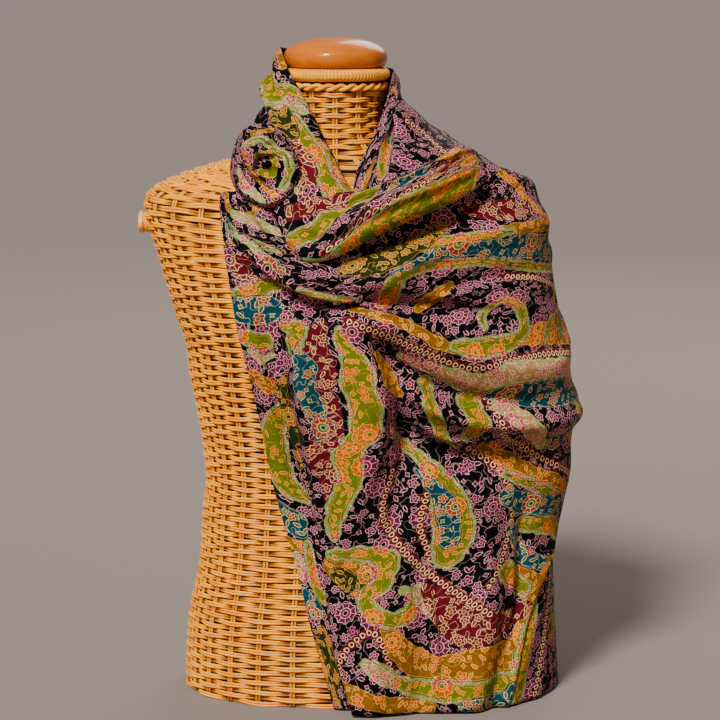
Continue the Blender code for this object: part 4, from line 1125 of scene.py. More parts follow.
# The paisleys of the back, in staggered columns, each leaning and coloured in its turn.
PAISLEY_DYES = (
    ("olive", "maroon"),
    ("ochre", "teal"),
    ("mint", "wine"),
    ("olive", "teal"),
    ("ochre", "forest"),
    ("teal", "ochre"),
    ("olive", "wine"),
)
PAISLEY_LEANS = (20, -35, 15, -20, 40, -10, 160, 25, -30)
PAISLEY_SIZES = (72, 84, 66, 78, 90, 70)
BACK_BANDS = (
    ("maroon", 4, 3, 4.6, 9, 22, 5, 5, 45, 5, 10, 72, 5, 5, 99, 5),
    ("maroon", 24, 3, 4.6, 30, 26, 5, 22, 52, 5, 30, 78, 5, 24, 99, 5),
    ("maroon", 52, 3, 4.6, 46, 24, 5, 54, 50, 5, 46, 76, 5, 54, 99, 5),
    ("maroon", 74, 3, 4.6, 80, 28, 5, 72, 54, 5, 79, 80, 5, 73, 99, 5),
    ("maroon", 96, 3, 4.6, 93, 30, 5, 97, 60, 5, 94, 99, 5),
    ("ochre", 12, 2, 6, 16, 24, 8, 12, 50, 7, 17, 76, 8, 12, 99, 7),
    ("forest", 62, 2, 7, 66, 28, 9, 61, 54, 8, 66, 80, 9, 62, 99, 8),
)


def boteh(across, down, size, lean, outer, inner, piece):
    """The strokes of one paisley, and of a smaller one inside it, on a piece of this size."""
    turn = math.radians(lean)
    right, below, half = (np.array(column) * size for column in zip(*DROP))
    x = right * math.cos(turn) - below * math.sin(turn)
    y = right * math.sin(turn) + below * math.cos(turn)
    places = np.stack([across + 100 * x / piece[0], down + 100 * y / piece[1], half], axis=-1)
    heart = places[:3] - np.array([0.0, 0.0, 0.16 * size])
    heart[:, 2] = np.maximum(heart[:, 2], 0.03 * size)
    return [(outer, *places.ravel()), (inner, *heart.ravel())]


def paisley_rows(columns, rows, piece, start):
    """Strokes of staggered rows of paisleys, over a piece of this width and length."""
    found = []
    stagger = (columns[-1] - columns[0]) / (len(columns) - 1) / 2
    for row, down in enumerate(rows):
        for column, across in enumerate(columns):
            k = start + row * len(columns) + column
            across = across + (row % 2) * stagger + 2.5 * math.sin(2.3 * k)
            size = PAISLEY_SIZES[k % len(PAISLEY_SIZES)]
            lean = PAISLEY_LEANS[k % len(PAISLEY_LEANS)]
            dyes = PAISLEY_DYES[k % len(PAISLEY_DYES)]
            found += boteh(across, down + 2.0 * math.cos(1.7 * k), size, lean, *dyes, piece)
    return found


front_starts, front_ends, back_starts, back_ends, under_ends = (
    list(column) for column in zip(*CAPE_EDGES))
hem = float(len(CAPE_RINGS) - 1)
points = cape_sheet(back_starts, back_ends, np.linspace(1.0, hem, 21), columns=17, finer=9,
                    offset=0.0, creases=SMALL_CREASES, carriers=FORM_NODES, seat=BACK_SEAT,
                    rolled=(False, True))
paisleys = paisley_rows(columns=(10, 30, 50, 70, 88), rows=(8, 23, 38, 53, 68, 82, 95),
                        piece=(400.0, 590.0), start=0)
back_fall = cloth_piece("cloth_back_fall", points, [*BACK_BANDS, *paisleys], outward_round)
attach(back_fall, "root")
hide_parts("shawl_back_fall")

# ---- Under layer ----------------------------------------------------------------------------
# Low on the covered side a second edge of the shawl hangs between the back fall and the front.
# It is the same cloth, and only a narrow strip of it shows.
UNDER_WIDTH = 30.0
UNDER_TOP = 12.4
UNDER_SEAT = (-0.814, 0.488, 0.0)
UNDER_DYES = (
    ("ochre", 30, 0, 12, 34, 50, 14, 28, 100, 12),
    ("olive", 66, 0, 9, 60, 45, 10, 68, 100, 9),
    ("maroon", 90, 0, 4, 90, 100, 4),
    ("teal", 48, 20, 7, 52, 60, 8),
)
points = cape_sheet([end - UNDER_WIDTH for end in under_ends], under_ends,
                    np.linspace(UNDER_TOP, hem, 11), columns=8, finer=8, offset=LAYER_STEP,
                    creases=(), carriers=("shawl_back_fall", *FORM_NODES), seat=UNDER_SEAT,
                    rolled=(True,))
under_layer = cloth_piece("cloth_under_layer", points, UNDER_DYES, outward_round)
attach(under_layer, "root")
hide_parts("shawl_under_layer")

# ---- Left tail ------------------------------------------------------------------------------
# The other end of the shawl hangs straight down from the knot, folded lengthwise into a narrow
# strip, and its right side runs in under the front fall.
BAND_GAP = 2.6
TAIL_SEAT = 2.219
# Sections of the band, top to bottom: its inner edge, its outer edge, how far it swells between.
LEFT_TAIL = (
    (-55, -118, 458, -108.5, -96, 462, 4),
    (-44, -120, 436, -104, -99, 435, 4),
    (-39, -120, 407, -99.3, -100, 404, 5),
    (-40, -118, 380, -95.6, -99, 380, 5),
    (-38, -113, 346, -87, -96, 346, 5),
    (-33, -104, 310, -79.4, -90, 310, 5),
    (-24, -97, 269, -70.9, -84, 269, 5),
    (-14, -92, 228, -63.2, -80, 228, 4),
    (-4, -93, 184, -51.6, -82, 184, 4),
    (2, -100, 136, -37, -90, 136, 4),
    (6, -106, 92, -27.2, -98, 92, 4),
    (13, -110, 44, -13.5, -104, 44, 4),
    (18, -112, 2, -2, -108, 2, 4),
)
# From row, to row, share of the width at its start, at its end, rise, spread.
TAIL_PLEATS = (
    (0, 7, 0.58, 0.66, 4, 4),
    (3, 12, 0.26, 0.4, 3.5, 4),
    (0, 12, 0.4, 0.5, -4, 7),
    (0, 12, 0.75, 0.75, 2.5, 7),
)
TAIL_DYES = (
    ("maroon", 6.2, 60.4, 14, 5.7, 39.6, 11),
    ("olive", 13, 75, 7, 12, 52.1, 10, 10.9, 31.2, 8),
    ("teal", 18.2, 72.9, 14, 17.7, 43.8, 14),
    ("olive", 26.6, 72.9, 10, 27.6, 52.1, 11),
    ("mint", 29.7, 70.8, 4, 31.2, 56.2, 6, 30.7, 45.8, 4),
    ("ochre", 35.9, 70.8, 9, 38, 54.2, 9),
    ("olive", 42.2, 37.5, 9, 47.9, 64.6, 14, 54.2, 70.8, 16, 59.4, 60.4, 12, 61.5, 41.7, 8),
    ("wine", 42.2, 16.7, 5, 50.5, 29.2, 8, 57.3, 29.2, 8),
    ("teal", 64.1, 97.9, 12, 66.1, 68.8, 14, 67.7, 58.3, 8),
    ("ochre", 69.8, 97.9, 7, 70.8, 58.3, 7),
    ("olive", 70.3, 54.2, 6, 75.5, 56.2, 8, 79.7, 43.8, 8, 79.2, 0, 6),
    ("mint", 72.4, 77.1, 8, 75.5, 79.2, 7),
    ("teal", 79.2, 87.5, 10, 81.8, 60.4, 11),
    ("forest", 86.5, 60.4, 12, 91.1, 56.2, 12, 97.4, 62.5, 10),
    ("ochre", 88, 97.9, 7, 93.2, 81.2, 8),
)


def band_grid(rows, pleats, sections, across):
    """Outer points of a band: each cross-section is half an ellipse between its two edges."""
    place = np.linspace(0, len(rows) - 1, sections + 1)
    columns = [smooth(column, place) for column in zip(*rows)]
    inner = np.stack(columns[0:3], axis=-1)
    outer = np.stack(columns[3:6], axis=-1)
    middle = (inner + outer) / 2
    out = unit(np.cross(np.gradient(middle, axis=0), outer - inner))
    out = out * np.sign((out * middle * np.array([1.0, 1.0, 0.0])).sum(-1))[:, None]
    turn = np.linspace(0, math.pi, across + 1)[None, :]
    share = (1 - np.cos(turn)) / 2
    lift = columns[6][:, None] * np.sin(turn)
    width = np.linalg.norm(outer - inner, axis=-1)[:, None]
    for first, last, start, end, rise, spread in pleats:
        run = np.clip((place[:, None] - first) / (last - first), 0, 1)
        line = start + (end - start) * run
        fade = np.sin(math.pi * run) * np.sin(turn)
        lift = lift + rise * fade * np.exp(-((share - line) * width / spread) ** 2)
    across = (outer - inner)[:, None] * share[..., None]
    return inner[:, None] + across + out[:, None] * lift[..., None]


def laid_band(rows, pleats, sections, across, finer, carriers, seat):
    """Outer points of a band that lies on the front of what carries it, pushed home by its seat."""
    points = band_grid(rows, pleats, sections * finer, across * finer)
    inward = -outward_front(points)
    points = settle(points, inward, solid_form(*carriers), WALL + BAND_GAP, rounds=10, finer=finer)
    return points + np.array((0.0, seat, 0.0))


points = laid_band(LEFT_TAIL, TAIL_PLEATS, sections=24, across=6, finer=8,
                   carriers=FORM_NODES, seat=TAIL_SEAT)
left_tail = cloth_piece("cloth_left_tail", points, TAIL_DYES, outward_front)
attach(left_tail, "root")
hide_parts("shawl_left_tail")

# ---- Front of the shawl ---------------------------------------------------------------------
# The broad front: gathered at the roll and the knot, drawn over the covered shoulder, and let
# fall in a fan of swags that start deep at the gather and fade out towards the elbow.
# Row, and the station of the cape's rings that it lies at.
FRONT_ROWS = ((0, 1.0), (8, 7.4), (16, 8.85), (39, 11.75), (48, 15.0))
FRONT_CREASES = (
    ("ridge of the bead band", 3, 403, 0, 13.8, 391, 8.5, 26.5, 371, 8.5, 41.8, 360, 0, 3.5, 5),
    ("crease under it", 8.8, 378, 0, 16.8, 352, -5, 26.8, 328, -5, 41.8, 317, 0, 3.5, 5),
    ("ridge over the elbow", 19.2, 414, 0, 30.8, 416, 7.5, 47, 421, 7.5, 92.5, 424, 1.9, 4, 4),
    ("crease under it", 24.2, 402, 0, 36.8, 403, -4.2, 60, 398, -4.2, 87.5, 406, 0, 4, 4),
    ("ridge on the upper arm", 9.2, 450, 0, 23.8, 463, 7.5, 44.2, 467, 6.5, 94, 464, 0, 4, 5),
    ("crease over it", 15.2, 461, 0, 27, 471, -4.2, 45, 479, -4.2, 88.5, 483, 0, 4, 4),
    ("ridge by the gather", 3.2, 429, 0, 12.5, 437, 6.5, 23, 449, 6.5, 38.2, 459, 0, 4, 4),
    ("deep crease at the gather", -3, 422, -2, 7, 419, -5, 17, 419, -5, 29, 427, 0, 3, 4),
    ("crease below the gather", 11.5, 372, 0, 15, 330, -5, 17.5, 285, -4, 21, 226, 0, 3.5, 4),
    ("ridge on the shoulder", 36.2, 495, 0, 54, 498, 6.5, 71.8, 492, 6.5, 87.8, 475, 0, 4, 6),
    ("ridge in the swag", 12.2, 367, 0, 20.2, 338, 8.5, 30.8, 315, 8.5, 47, 308, 0, 4, 5),
    ("ridge at the elbow", 45.5, 318, 0, 58.8, 322, 7.5, 73.2, 322, 7.5, 87.2, 318, 3.8, 4, 5),
    ("lip of the third swag", 12.5, 326, 0, 18.8, 292, 7.5, 26.5, 276, 7.5, 36.5, 268, 0, 3.5, 4),
    ("pleat beside the ridge", 7.5, 371, 0, 10.5, 322, 7.5, 12, 277, 7.5, 14.8, 226, 0, 4, 4),
    ("crease beside it", 9.5, 367, 0, 8.5, 308, -5, 9.8, 247, -5, 12.8, 187, 0, 4, 4),
    ("pleat on the ridge", 2.5, 376, 0, 4, 317, 8.2, 3.8, 258, 6.5, 1.8, 187, 0, 4, 4),
    ("crease left of the ridge", 0.8, 386, 0, 0.5, 317, -6, 1.2, 258, -6, -0.2, 187, 0, 3.5, 4),
    ("pleat by the edge", -4.8, 389, 0, -3.5, 328, 6.5, -1.8, 268, 6.5, 0.2, 197, 0, 4, 4),
    ("crease by the edge", -9, 380, 0, -7.8, 317, -4.2, -5.5, 258, -4.2, -1.2, 187, 0, 4, 4),
    ("side pleat", 67.8, 263, 0, 68, 201, 7.5, 64, 134, 6.5, 56.2, 75, 0, 4, 5),
    ("side crease", 53.2, 238, 0, 54, 160, -4.2, 50, 83, -4.2, 43.5, 29, 0, 4, 5),
    ("middle pleat", 40.2, 257, 0, 47.5, 189, 6.5, 48.8, 128, 6.5, 44.8, 59, 0, 4, 5),
    ("middle crease", 26.2, 255, 0, 29.8, 193, -4.2, 32, 124, -4.2, 29.5, 44, 0, 5, 5),
    ("foot pleat", 21.2, 145, 0, 23, 96, 7.5, 24, 55, 7.5, 23.2, 13, 7.5, 4, 5),
    ("low pleat", 14.2, 226, 0, 17, 171, 5.6, 15.8, 117, 5.6, 13.2, 57, 0, 5, 5),
    ("foot crease", 5.5, 137, 0, 5, 98, -4.2, 5.8, 59, -4.2, 6.2, 17, -4.2, 4, 5),
)
FRONT_DYES = (
    # The first forest stroke darkens the deep fold by the left edge: partly the cloth's own dark
    # band, partly painted shade.
    ("forest", 8, 52, 6, 4.5, 60, 8, 3.5, 70, 8, 0.5, 80, 6),
    ("maroon", 18.2, 2.9, 4.6, 35.8, 5, 4.6, 36.4, 8.3, 4.6),
    ("wine", 40.6, 15, 10, 49.1, 15.4, 13, 59.4, 15.4, 9),
    ("ochre", 53.3, 12.1, 5, 61.8, 15, 5, 75.2, 19.2, 5),
    ("ochre", 40, 20, 4, 52.7, 17.1, 7, 74.5, 16.7, 9),
    ("forest", 10.9, 24.6, 11, 18.8, 23.8, 15, 27.9, 19.2, 12, 33.3, 16.2, 7),
    ("olive", 13.3, 23.3, 6, 23, 21.2, 10, 30.3, 20, 9, 40.6, 19.2, 9, 51.5, 17.9, 5),
    ("teal", 24.2, 25.8, 4, 32.7, 22.1, 7, 43, 21.2, 8, 55.8, 21.2, 13, 77, 22.9, 17),
    ("olive", 30.3, 31.2, 11, 26.7, 27.5, 11, 31.5, 24.6, 8, 44.2, 23.8, 6, 78.2, 27.9, 7),
    ("maroon", 54.5, 27.1, 5, 63, 27.9, 5, 80, 32.1, 5),
    ("ochre", 38.8, 32.9, 5, 39.4, 30.4, 11, 40.6, 28.3, 5),
    ("olive", 53.3, 38.3, 5, 53.3, 33.8, 6, 56.4, 31.7, 6, 61.8, 34.2, 7, 63, 40, 8, 58.8, 43.3,
     12, 51.5, 43.8, 12, 46.1, 42.5, 5),
    ("ochre", 61.8, 41.7, 9, 69.7, 41.7, 13, 84.8, 45, 13),
    ("ochre", 24.8, 32.5, 4, 35.2, 35.4, 6, 43.6, 41.7, 6, 51.5, 45.8, 5),
    ("mint", 37, 45.4, 4, 44.8, 50, 9, 52.7, 53.8, 13, 60.6, 51.2, 13, 72.1, 52.1, 12, 84.2, 55,
     12),
    ("maroon", 25.5, 35, 5, 33.9, 39.6, 5.5, 41.8, 44.6, 5.5, 50.9, 49.2, 5.5, 56.4, 48.3, 5.5,
     67.3, 47.5, 5.5, 82.4, 50, 5.5),
    ("teal", 53.9, 53.3, 7, 60, 57.1, 16, 67.9, 58.3, 17, 86.7, 60.4, 15),
    ("olive", 63.6, 59.2, 7, 71.5, 60.4, 9, 86.1, 62.9, 8),
    ("mint", 58.2, 61.2, 9, 62.4, 65, 13, 72.1, 74.6, 9),
    ("maroon", 41.8, 47.9, 5, 50.3, 54.2, 5, 56.4, 60.4, 5, 57.6, 67.1, 5, 70.3, 77.9, 5, 93.9,
     83.8, 5),
    ("teal", 77, 75.4, 9, 80, 72.1, 14, 85.5, 68.8, 10),
    ("olive", 51.5, 58.8, 13, 52.1, 62.5, 14, 51.5, 68.3, 9),
    ("ochre", 57, 74.6, 8, 66.7, 81.7, 11, 87.3, 84.6, 12),
    ("olive", 61.2, 81.7, 5, 70.9, 83.3, 7, 92.1, 85.8, 8),
    ("teal", 64.8, 84.2, 11, 75.2, 85.4, 12, 90.9, 85.8, 11),
    ("olive", 75.8, 87.1, 9, 87.9, 87.5, 12, 99.4, 88.8, 8),
    ("teal", 71.5, 87.1, 7, 81.8, 89.6, 8, 94.5, 90.8, 8),
    ("ochre", 84.8, 91.2, 14, 98.2, 92.9, 13, 98.8, 94.6, 8),
    ("olive", 77.6, 90.8, 12, 92.1, 92.5, 9),
    ("ochre", 32.7, 45.4, 6, 35.2, 50.4, 11, 37.6, 56.7, 5),
    ("olive", 43, 52.9, 8, 43, 60, 9, 45.5, 67.9, 7, 50.3, 73.8, 4),
    ("maroon", 21.2, 37.1, 8, 21.2, 45, 14, 23, 56.2, 15, 23, 67.9, 15, 21.2, 81.2, 12, 18.8, 85.4,
     5),
    ("teal", 15.2, 45, 9, 17.6, 51.2, 13, 20, 58.3, 12, 20.6, 68.3, 6),
    ("olive", 6.7, 36.7, 7, 14.5, 37.5, 10, 12.7, 44.2, 6),
    ("olive", 24.8, 37.9, 6, 28.5, 46.2, 14, 30.9, 57.1, 18, 27.9, 70.4, 16, 26.1, 80.8, 14, 20.6,
     84.6, 12, 15.8, 87.5, 5),
    ("maroon", 35.8, 79.6, 4.7, 32.7, 84.6, 4.7, 37, 87.9, 4.7, 46.1, 90, 4.7, 62.4, 92.1, 4.7,
     78.8, 93.8, 4.7),
    ("maroon", 52.7, 74.6, 4.7, 61.2, 81.7, 4.7, 70.3, 86.2, 4.7, 73.3, 89.6, 4.7, 72.7, 91.7,
     4.7),
    ("maroon", 44.2, 81.2, 4.7, 43, 85.8, 4.7, 49.7, 89.6, 4.7),
    ("olive", 35.8, 66.7, 4, 41.2, 76.2, 7, 46.1, 82.1, 13, 50.3, 85, 20, 53.9, 87.5, 22, 54.5,
     89.2, 16),
    ("teal", 41.2, 81.2, 4, 46.1, 83.3, 9, 50.9, 85.8, 12, 53.3, 87.9, 10),
    ("ochre", 11.5, 89.6, 10, 21.2, 90.4, 16, 27.3, 91.7, 12),
    ("forest", 15.2, 90.4, 8, 21.2, 91.2, 9, 25.5, 90.8, 7),
    ("olive", 12.1, 88.8, 6, 24.2, 88.8, 9, 34.5, 89.6, 13, 33.3, 91.2, 11, 27.3, 92.1, 10, 30.3,
     93.3, 10, 38.8, 93.8, 10, 47.3, 93.3, 9, 46.7, 92.1, 6, 41.2, 91.7, 5),
    ("wine", 50.9, 91.7, 6, 61.2, 93.3, 18, 72.1, 94.6, 21, 84.8, 94.6, 14, 96.4, 93.8, 7),
    ("mint", 47.3, 91.7, 6, 53.9, 92.9, 12, 60, 93.8, 9),
    ("ochre", 36.4, 94.2, 8, 45.5, 96.2, 14, 62.4, 97.5, 18, 78.8, 97.1, 19, 100, 96.7, 15),
    ("olive", 29.1, 96.7, 6, 47.3, 98.3, 10, 76.4, 98.8, 12, 100, 98.3, 10),
    ("mint", 23.6, 96.7, 6, 34.5, 97.5, 11),
    ("ochre", 2.4, 98.3, 9, 29.1, 99.2, 9, 58.2, 99.6, 8),
    ("teal", 75.2, 99.6, 7, 97, 99.6, 8, 100, 98.8, 7),
    ("maroon", 0.6, 99.2, 5, 3, 97.1, 5, 18.2, 95.4, 5, 29.7, 94.6, 5, 35.8, 95.8, 5, 38.2, 97.5,
     5),
    ("ochre", 98.8, 90.8, 9, 99.4, 93.3, 13, 100, 96.2, 15, 100, 98.3, 15),
    ("olive", 100, 94.6, 6, 100, 96.7, 9, 100, 98.8, 9),
)
front_rows = np.interp(range(FRONT_ROWS[-1][0] + 1), *zip(*FRONT_ROWS))
points = cape_sheet(front_starts, front_ends, front_rows, columns=33, finer=5,
                    offset=2 * LAYER_STEP, creases=FRONT_CREASES,
                    carriers=("shawl_back_fall", "shawl_under_layer", "shawl_left_tail",
                              "shawl_neck_right", *FORM_NODES),
                    seat=(0.0, 0.0, 0.0), rolled=(False, True))
paisleys = paisley_rows(columns=(89, 95), rows=(14, 25, 37, 49, 61, 73), piece=(380.0, 600.0),
                        start=3)
front = cloth_piece("cloth_front", points, [*FRONT_DYES, *paisleys], outward_round)
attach(front, "root")
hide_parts("shawl_shoulder_wrap", "shawl_front_fall")

# ---- Left drape -----------------------------------------------------------------------------
# Below the knot a loose flap of the gather lies across the left of the chest, over the head of
# the tail and under the twist.
DRAPE_SEAT = 1.147
LEFT_DRAPE = (
    (-64, -94, 512, -111.5, -74, 511, 7),
    (-61, -99, 503, -112.5, -82, 500, 8),
    (-55.6, -106, 494.3, -110.4, -92, 487.1, 9),
    (-33, -117, 470.5, -108.3, -98, 470.2, 8),
    (-10, -124, 452, -99.4, -104, 455.3, 7),
    (8, -130, 433, -70.2, -112, 432.9, 6),
)
DRAPE_PLEATS = (
    (0, 5.4, 0.16, 0.1, 5, 3.6),
    (0, 5.4, 0.44, 0.4, -5, 3.6),
    (0, 5.4, 0.78, 0.82, 4.5, 4),
    (0, 5, 0.35, 0.2, 4, 7),
    (0, 5, 0.6, 0.55, -4, 7),
)
DRAPE_DYES = (
    ("mint", 38.8, 62.9, 6, 48, 42.9, 8, 56.1, 22.9, 7),
    ("olive", 51, 72.9, 6, 64.3, 58.6, 6, 73.5, 45.7, 5),
    ("ochre", 8.2, 72.9, 5, 35.7, 67.1, 4, 40.8, 45.7, 4, 21.4, 25.7, 4),
    ("black", 9.2, 58.6, 7, 25.5, 41.4, 5),
    ("teal", 43.9, 75.7, 4, 65.3, 75.7, 5),
    ("wine", 85.7, 84.3, 9, 78.6, 60, 6),
)
LOWER_NODES = ("shawl_back_fall", "shawl_under_layer", "shawl_left_tail", "shawl_neck_right",
               "shawl_shoulder_wrap", "shawl_front_fall", *FORM_NODES)
points = laid_band(LEFT_DRAPE, DRAPE_PLEATS, sections=14, across=10, finer=7,
                   carriers=LOWER_NODES, seat=DRAPE_SEAT)
left_drape = cloth_piece("cloth_left_drape", points, DRAPE_DYES, outward_front)
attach(left_drape, "root")
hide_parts("shawl_left_drape")

# ---- Twist ----------------------------------------------------------------------------------
# A rope of twisted cloth runs from under the knot to the fan of the front. It is wound on itself
# as the gather is pulled across the chest, and it holds the flap down.
TWIST_SEAT = 1.367
TWIST = (
    (-93, -98, 480, -99, -97, 469, 6),
    (-77, -109, 470, -85, -107, 457.4, 8),
    (-59.3, -118, 455, -69, -116, 441.2, 9),
    (-38, -126, 439.5, -45.8, -124, 425.7, 9),
    (-13.9, -132, 428.7, -19.7, -130, 415.9, 8),
    (10.1, -136, 423.4, 8.1, -134, 411.6, 6),
    (27, -135, 419, 26, -134, 414.5, 1.5),
)
TWIST_PLEATS = (
    (0, 3, 0.2, 0.8, -4, 4),
    (1, 4.5, 0.15, 0.85, -4, 4),
    (2.6, 6, 0.2, 0.75, -3.5, 4),
)
TWIST_DYES = (
    ("mint", 2.8, 39.6, 3, 28.5, 39.6, 3),
    ("teal", 16.7, 35.4, 4, 42.4, 31.2, 5),
    ("olive", 58.3, 70.8, 6, 84, 70.8, 7, 100, 100, 6),
    ("wine", 41.7, 91.7, 4, 61.1, 91.7, 4),
)
points = laid_band(TWIST, TWIST_PLEATS, sections=22, across=6, finer=8,
                   carriers=("shawl_left_drape", *LOWER_NODES), seat=TWIST_SEAT)
twist = cloth_piece("cloth_twist", points, TWIST_DYES, outward_front)
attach(twist, "root")
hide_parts("shawl_twist")

# ---- Neck band and cowl roll ----------------------------------------------------------------
# One gathered band goes up the right of the neck, round behind it and down its left, and then
# runs on across the chest to the covered shoulder as a full soft roll.
# Its sections have the tail's columns and start on the right of the chest, under the front.
NECK_BAND = (
    (17, -96, 504, 47, -94, 499, 3),
    (18, -90, 518, 53, -89, 512, 4),
    (20.5, -80, 532, 57.3, -80, 526, 5),
    (30.3, -65, 552.3, 59.5, -64, 544.5, 5),
    (41.1, -52, 573.3, 60.5, -44, 564, 5),
    (48.5, -38, 594.3, 60.5, -26, 580, 5),
    (54, -18, 616, 60.5, -8, 595, 4),
    (56, 10, 627.5, 62.5, 17, 601, 4),
    (46.5, 36, 629, 65, 54, 583, 7),
    (26, 55, 632, 33, 80, 558, 11),
    (-4, 60, 638, -8, 80, 552, 12),
    (-31, 50, 644, -44, 64, 558, 11),
    (-48, 30, 648, -62, 40, 566, 10),
    (-54.5, 9, 650, -68, 12, 574, 9),
    (-50.5, -22, 640.5, -73, -4, 569, 10),
    (-45.5, -36, 629, -77, -16, 565, 10),
    (-33.4, -46, 608.3, -80.5, -27, 560, 11),
    (-22.6, -52, 589.1, -83.5, -38, 554, 13),
    (-10.8, -60, 565.2, -83.5, -54, 546, 14),
    (1.1, -76, 544, -71.5, -88, 524, 15),
    (9, -94, 528.4, -58.3, -108, 496.8, 14),
    (18.6, -102, 517.5, -44.5, -120, 467.5, 17),
    (32.1, -106, 517.7, -24.2, -128, 450, 20),
    (48.3, -107, 522.4, -1.3, -132, 454.2, 23),
    (68.3, -106, 530.8, 24.4, -132, 467.5, 25),
    (91.4, -99, 541.7, 52.9, -130, 481.5, 25),
    (109.1, -86, 552.4, 81.4, -124, 493.3, 23),
    (121.3, -70, 556, 108.3, -114, 503.7, 18),
    (131.7, -54, 553, 130.6, -100, 513.7, 12),
    (139.3, -44, 546.7, 145.7, -88, 524.5, 6),
)
NECK_SECTIONS = 70
NECK_ACROSS = 9
NECK_SEAM = 17             # the band goes in under the front up to this section
NECK_BLEND = 2             # sections over which the two stretches join
NECK_GAP = 1.2
NECK_FINER = 6
NECK_PLEATS = (
    (6, 15, 0.28, 0.3, -5, 7),
    (6, 16, 0.52, 0.5, 3, 7),
    (7, 18, 0.74, 0.68, -5, 7),
    (12, 21, 0.3, 0.42, -4, 8),
    (14, 23, 0.65, 0.7, 4, 9),
    (19, 29, 0.34, 0.26, -6, 7),
    (20, 29, 0.6, 0.5, 4, 8),
    (19, 28, 0.84, 0.8, -4, 6),
    (18, 29.5, 0.2, 0.16, 4.5, 3.5),
    (18.5, 29, 0.47, 0.41, -4.5, 3.5),
    (19, 29, 0.7, 0.66, 4.5, 3.5),
    (10.5, 20, 0.44, 0.5, 4.5, 4),
    (11, 21, 0.58, 0.62, -4.5, 4),
    (12, 21, 0.82, 0.84, 4, 4),
    (1, 9, 0.3, 0.36, 3, 4),
    (1, 9, 0.66, 0.7, -3, 4),
)
NECK_DYES = (
    ("olive", 46.2, 27.8, 7, 46.4, 0, 7),
    ("ochre", 47.4, 1.9, 6, 50.5, 11.1, 5),
    ("olive", 51.4, 50, 7, 54, 25.9, 9, 56.9, 1.9, 6),
    ("mint", 53.3, 50, 4, 55.7, 33.3, 7, 58.3, 18.5, 5),
    ("maroon", 58.1, 48.1, 5, 60.5, 40.7, 5, 63.8, 37, 5),
    ("forest", 57.6, 42.6, 12, 61.2, 42.6, 9),
    ("olive", 60.5, 35.2, 8, 65.7, 31.5, 9, 69.3, 29.6, 7),
    ("mint", 63.3, 46.3, 8, 66.4, 44.4, 11, 68.6, 55.6, 7),
    ("wine", 63.1, 46.3, 9, 65.7, 48.1, 13, 67.9, 48.1, 9),
    ("ochre", 63.3, 22.2, 5, 67.9, 18.5, 6, 73.1, 20.4, 6),
    ("maroon", 19.8, 14.8, 5, 18.6, 77.8, 5),
    ("teal", 15.2, 42.6, 8, 12.9, 57.4, 7),
    ("olive", 11.9, 51.9, 10, 7.4, 59.3, 11, 79.5, 27.8, 10),
    ("ochre", 7.9, 40.7, 5, 3.6, 35.2, 6),
    ("wine", 70.5, 66.7, 9, 71.7, 44.4, 9, 73.3, 27.8, 7),
    ("olive", 72.9, 87, 9, 74.8, 55.6, 11, 76.4, 37, 8),
    ("maroon", 78.1, 83.3, 5.3, 81.4, 66.7, 5.3, 84.2, 60, 5.3, 86.9, 53.7, 5.3, 89.3, 48.1, 5.3),
    ("olive", 80, 90.7, 10, 84.3, 82.2, 19, 87.9, 76.6, 22, 91.7, 71.1, 21, 96, 68.4, 15, 97.1,
     100, 7),
    ("ochre", 81.9, 94.4, 5, 85.7, 96.3, 9, 89.3, 88.9, 9, 93.3, 77.8, 7),
    ("teal", 83.1, 37, 7, 85, 33.3, 7, 87.1, 33.3, 5),
    ("wine", 87.9, 42.6, 9, 91.7, 42.6, 9),
    ("ochre", 88.6, 11.1, 6, 96.4, 51.9, 8),
    ("mint", 75.7, 100, 4, 77.9, 100, 4, 79.8, 90.7, 4),
)
LATER_NODES = ("shawl_left_drape", "shawl_twist", *LOWER_NODES)
points = band_grid(NECK_BAND, NECK_PLEATS, NECK_SECTIONS * NECK_FINER, NECK_ACROSS * NECK_FINER)
seam = NECK_SEAM * NECK_FINER
inward = -outward_round(points)
gap = WALL + NECK_GAP
right = settle(points[:seam + 1], inward[:seam + 1], solid_form(*FORM_NODES), gap,
               rounds=10, finer=NECK_FINER)
rest = settle(points[seam:], inward[seam:], solid_form(*LATER_NODES), gap,
              rounds=10, finer=NECK_FINER)
joined = NECK_BLEND * NECK_FINER + 1
rest[:joined] += (right[-1] - rest[0]) * (1 - np.linspace(0, 1, joined)[:, None, None])
points = np.concatenate([right, rest[1:]])
neck_band = cloth_piece("cloth_neck_band", points, NECK_DYES, outward_round)
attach(neck_band, "root")
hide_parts("shawl_neck_right", "shawl_collar_back", "shawl_neck_left", "shawl_cowl_roll")

# ---- Rosette --------------------------------------------------------------------------------
# On the left of the chest the whole gather is swirled into a knot, like a rose. Its outer turns
# lie on the neck band, the flap and the twist.
ROSETTE_CENTRE = (-69.0, -98.0, 540.0)
ROSETTE_WIDE, ROSETTE_HIGH = 34.0, 39.0
ROSETTE_DOME = 20.0
ROSETTE_GAP = 8.3
ROSETTE_EASE = 0.9
ROSETTE_SEAT = 8.823
ROSETTE_FINER = 8
ROSETTE_ROUND = 24 * ROSETTE_FINER     # columns in one turn about its middle
OVERLAP = 4 * ROSETTE_FINER            # columns that overlap where the grid meets itself
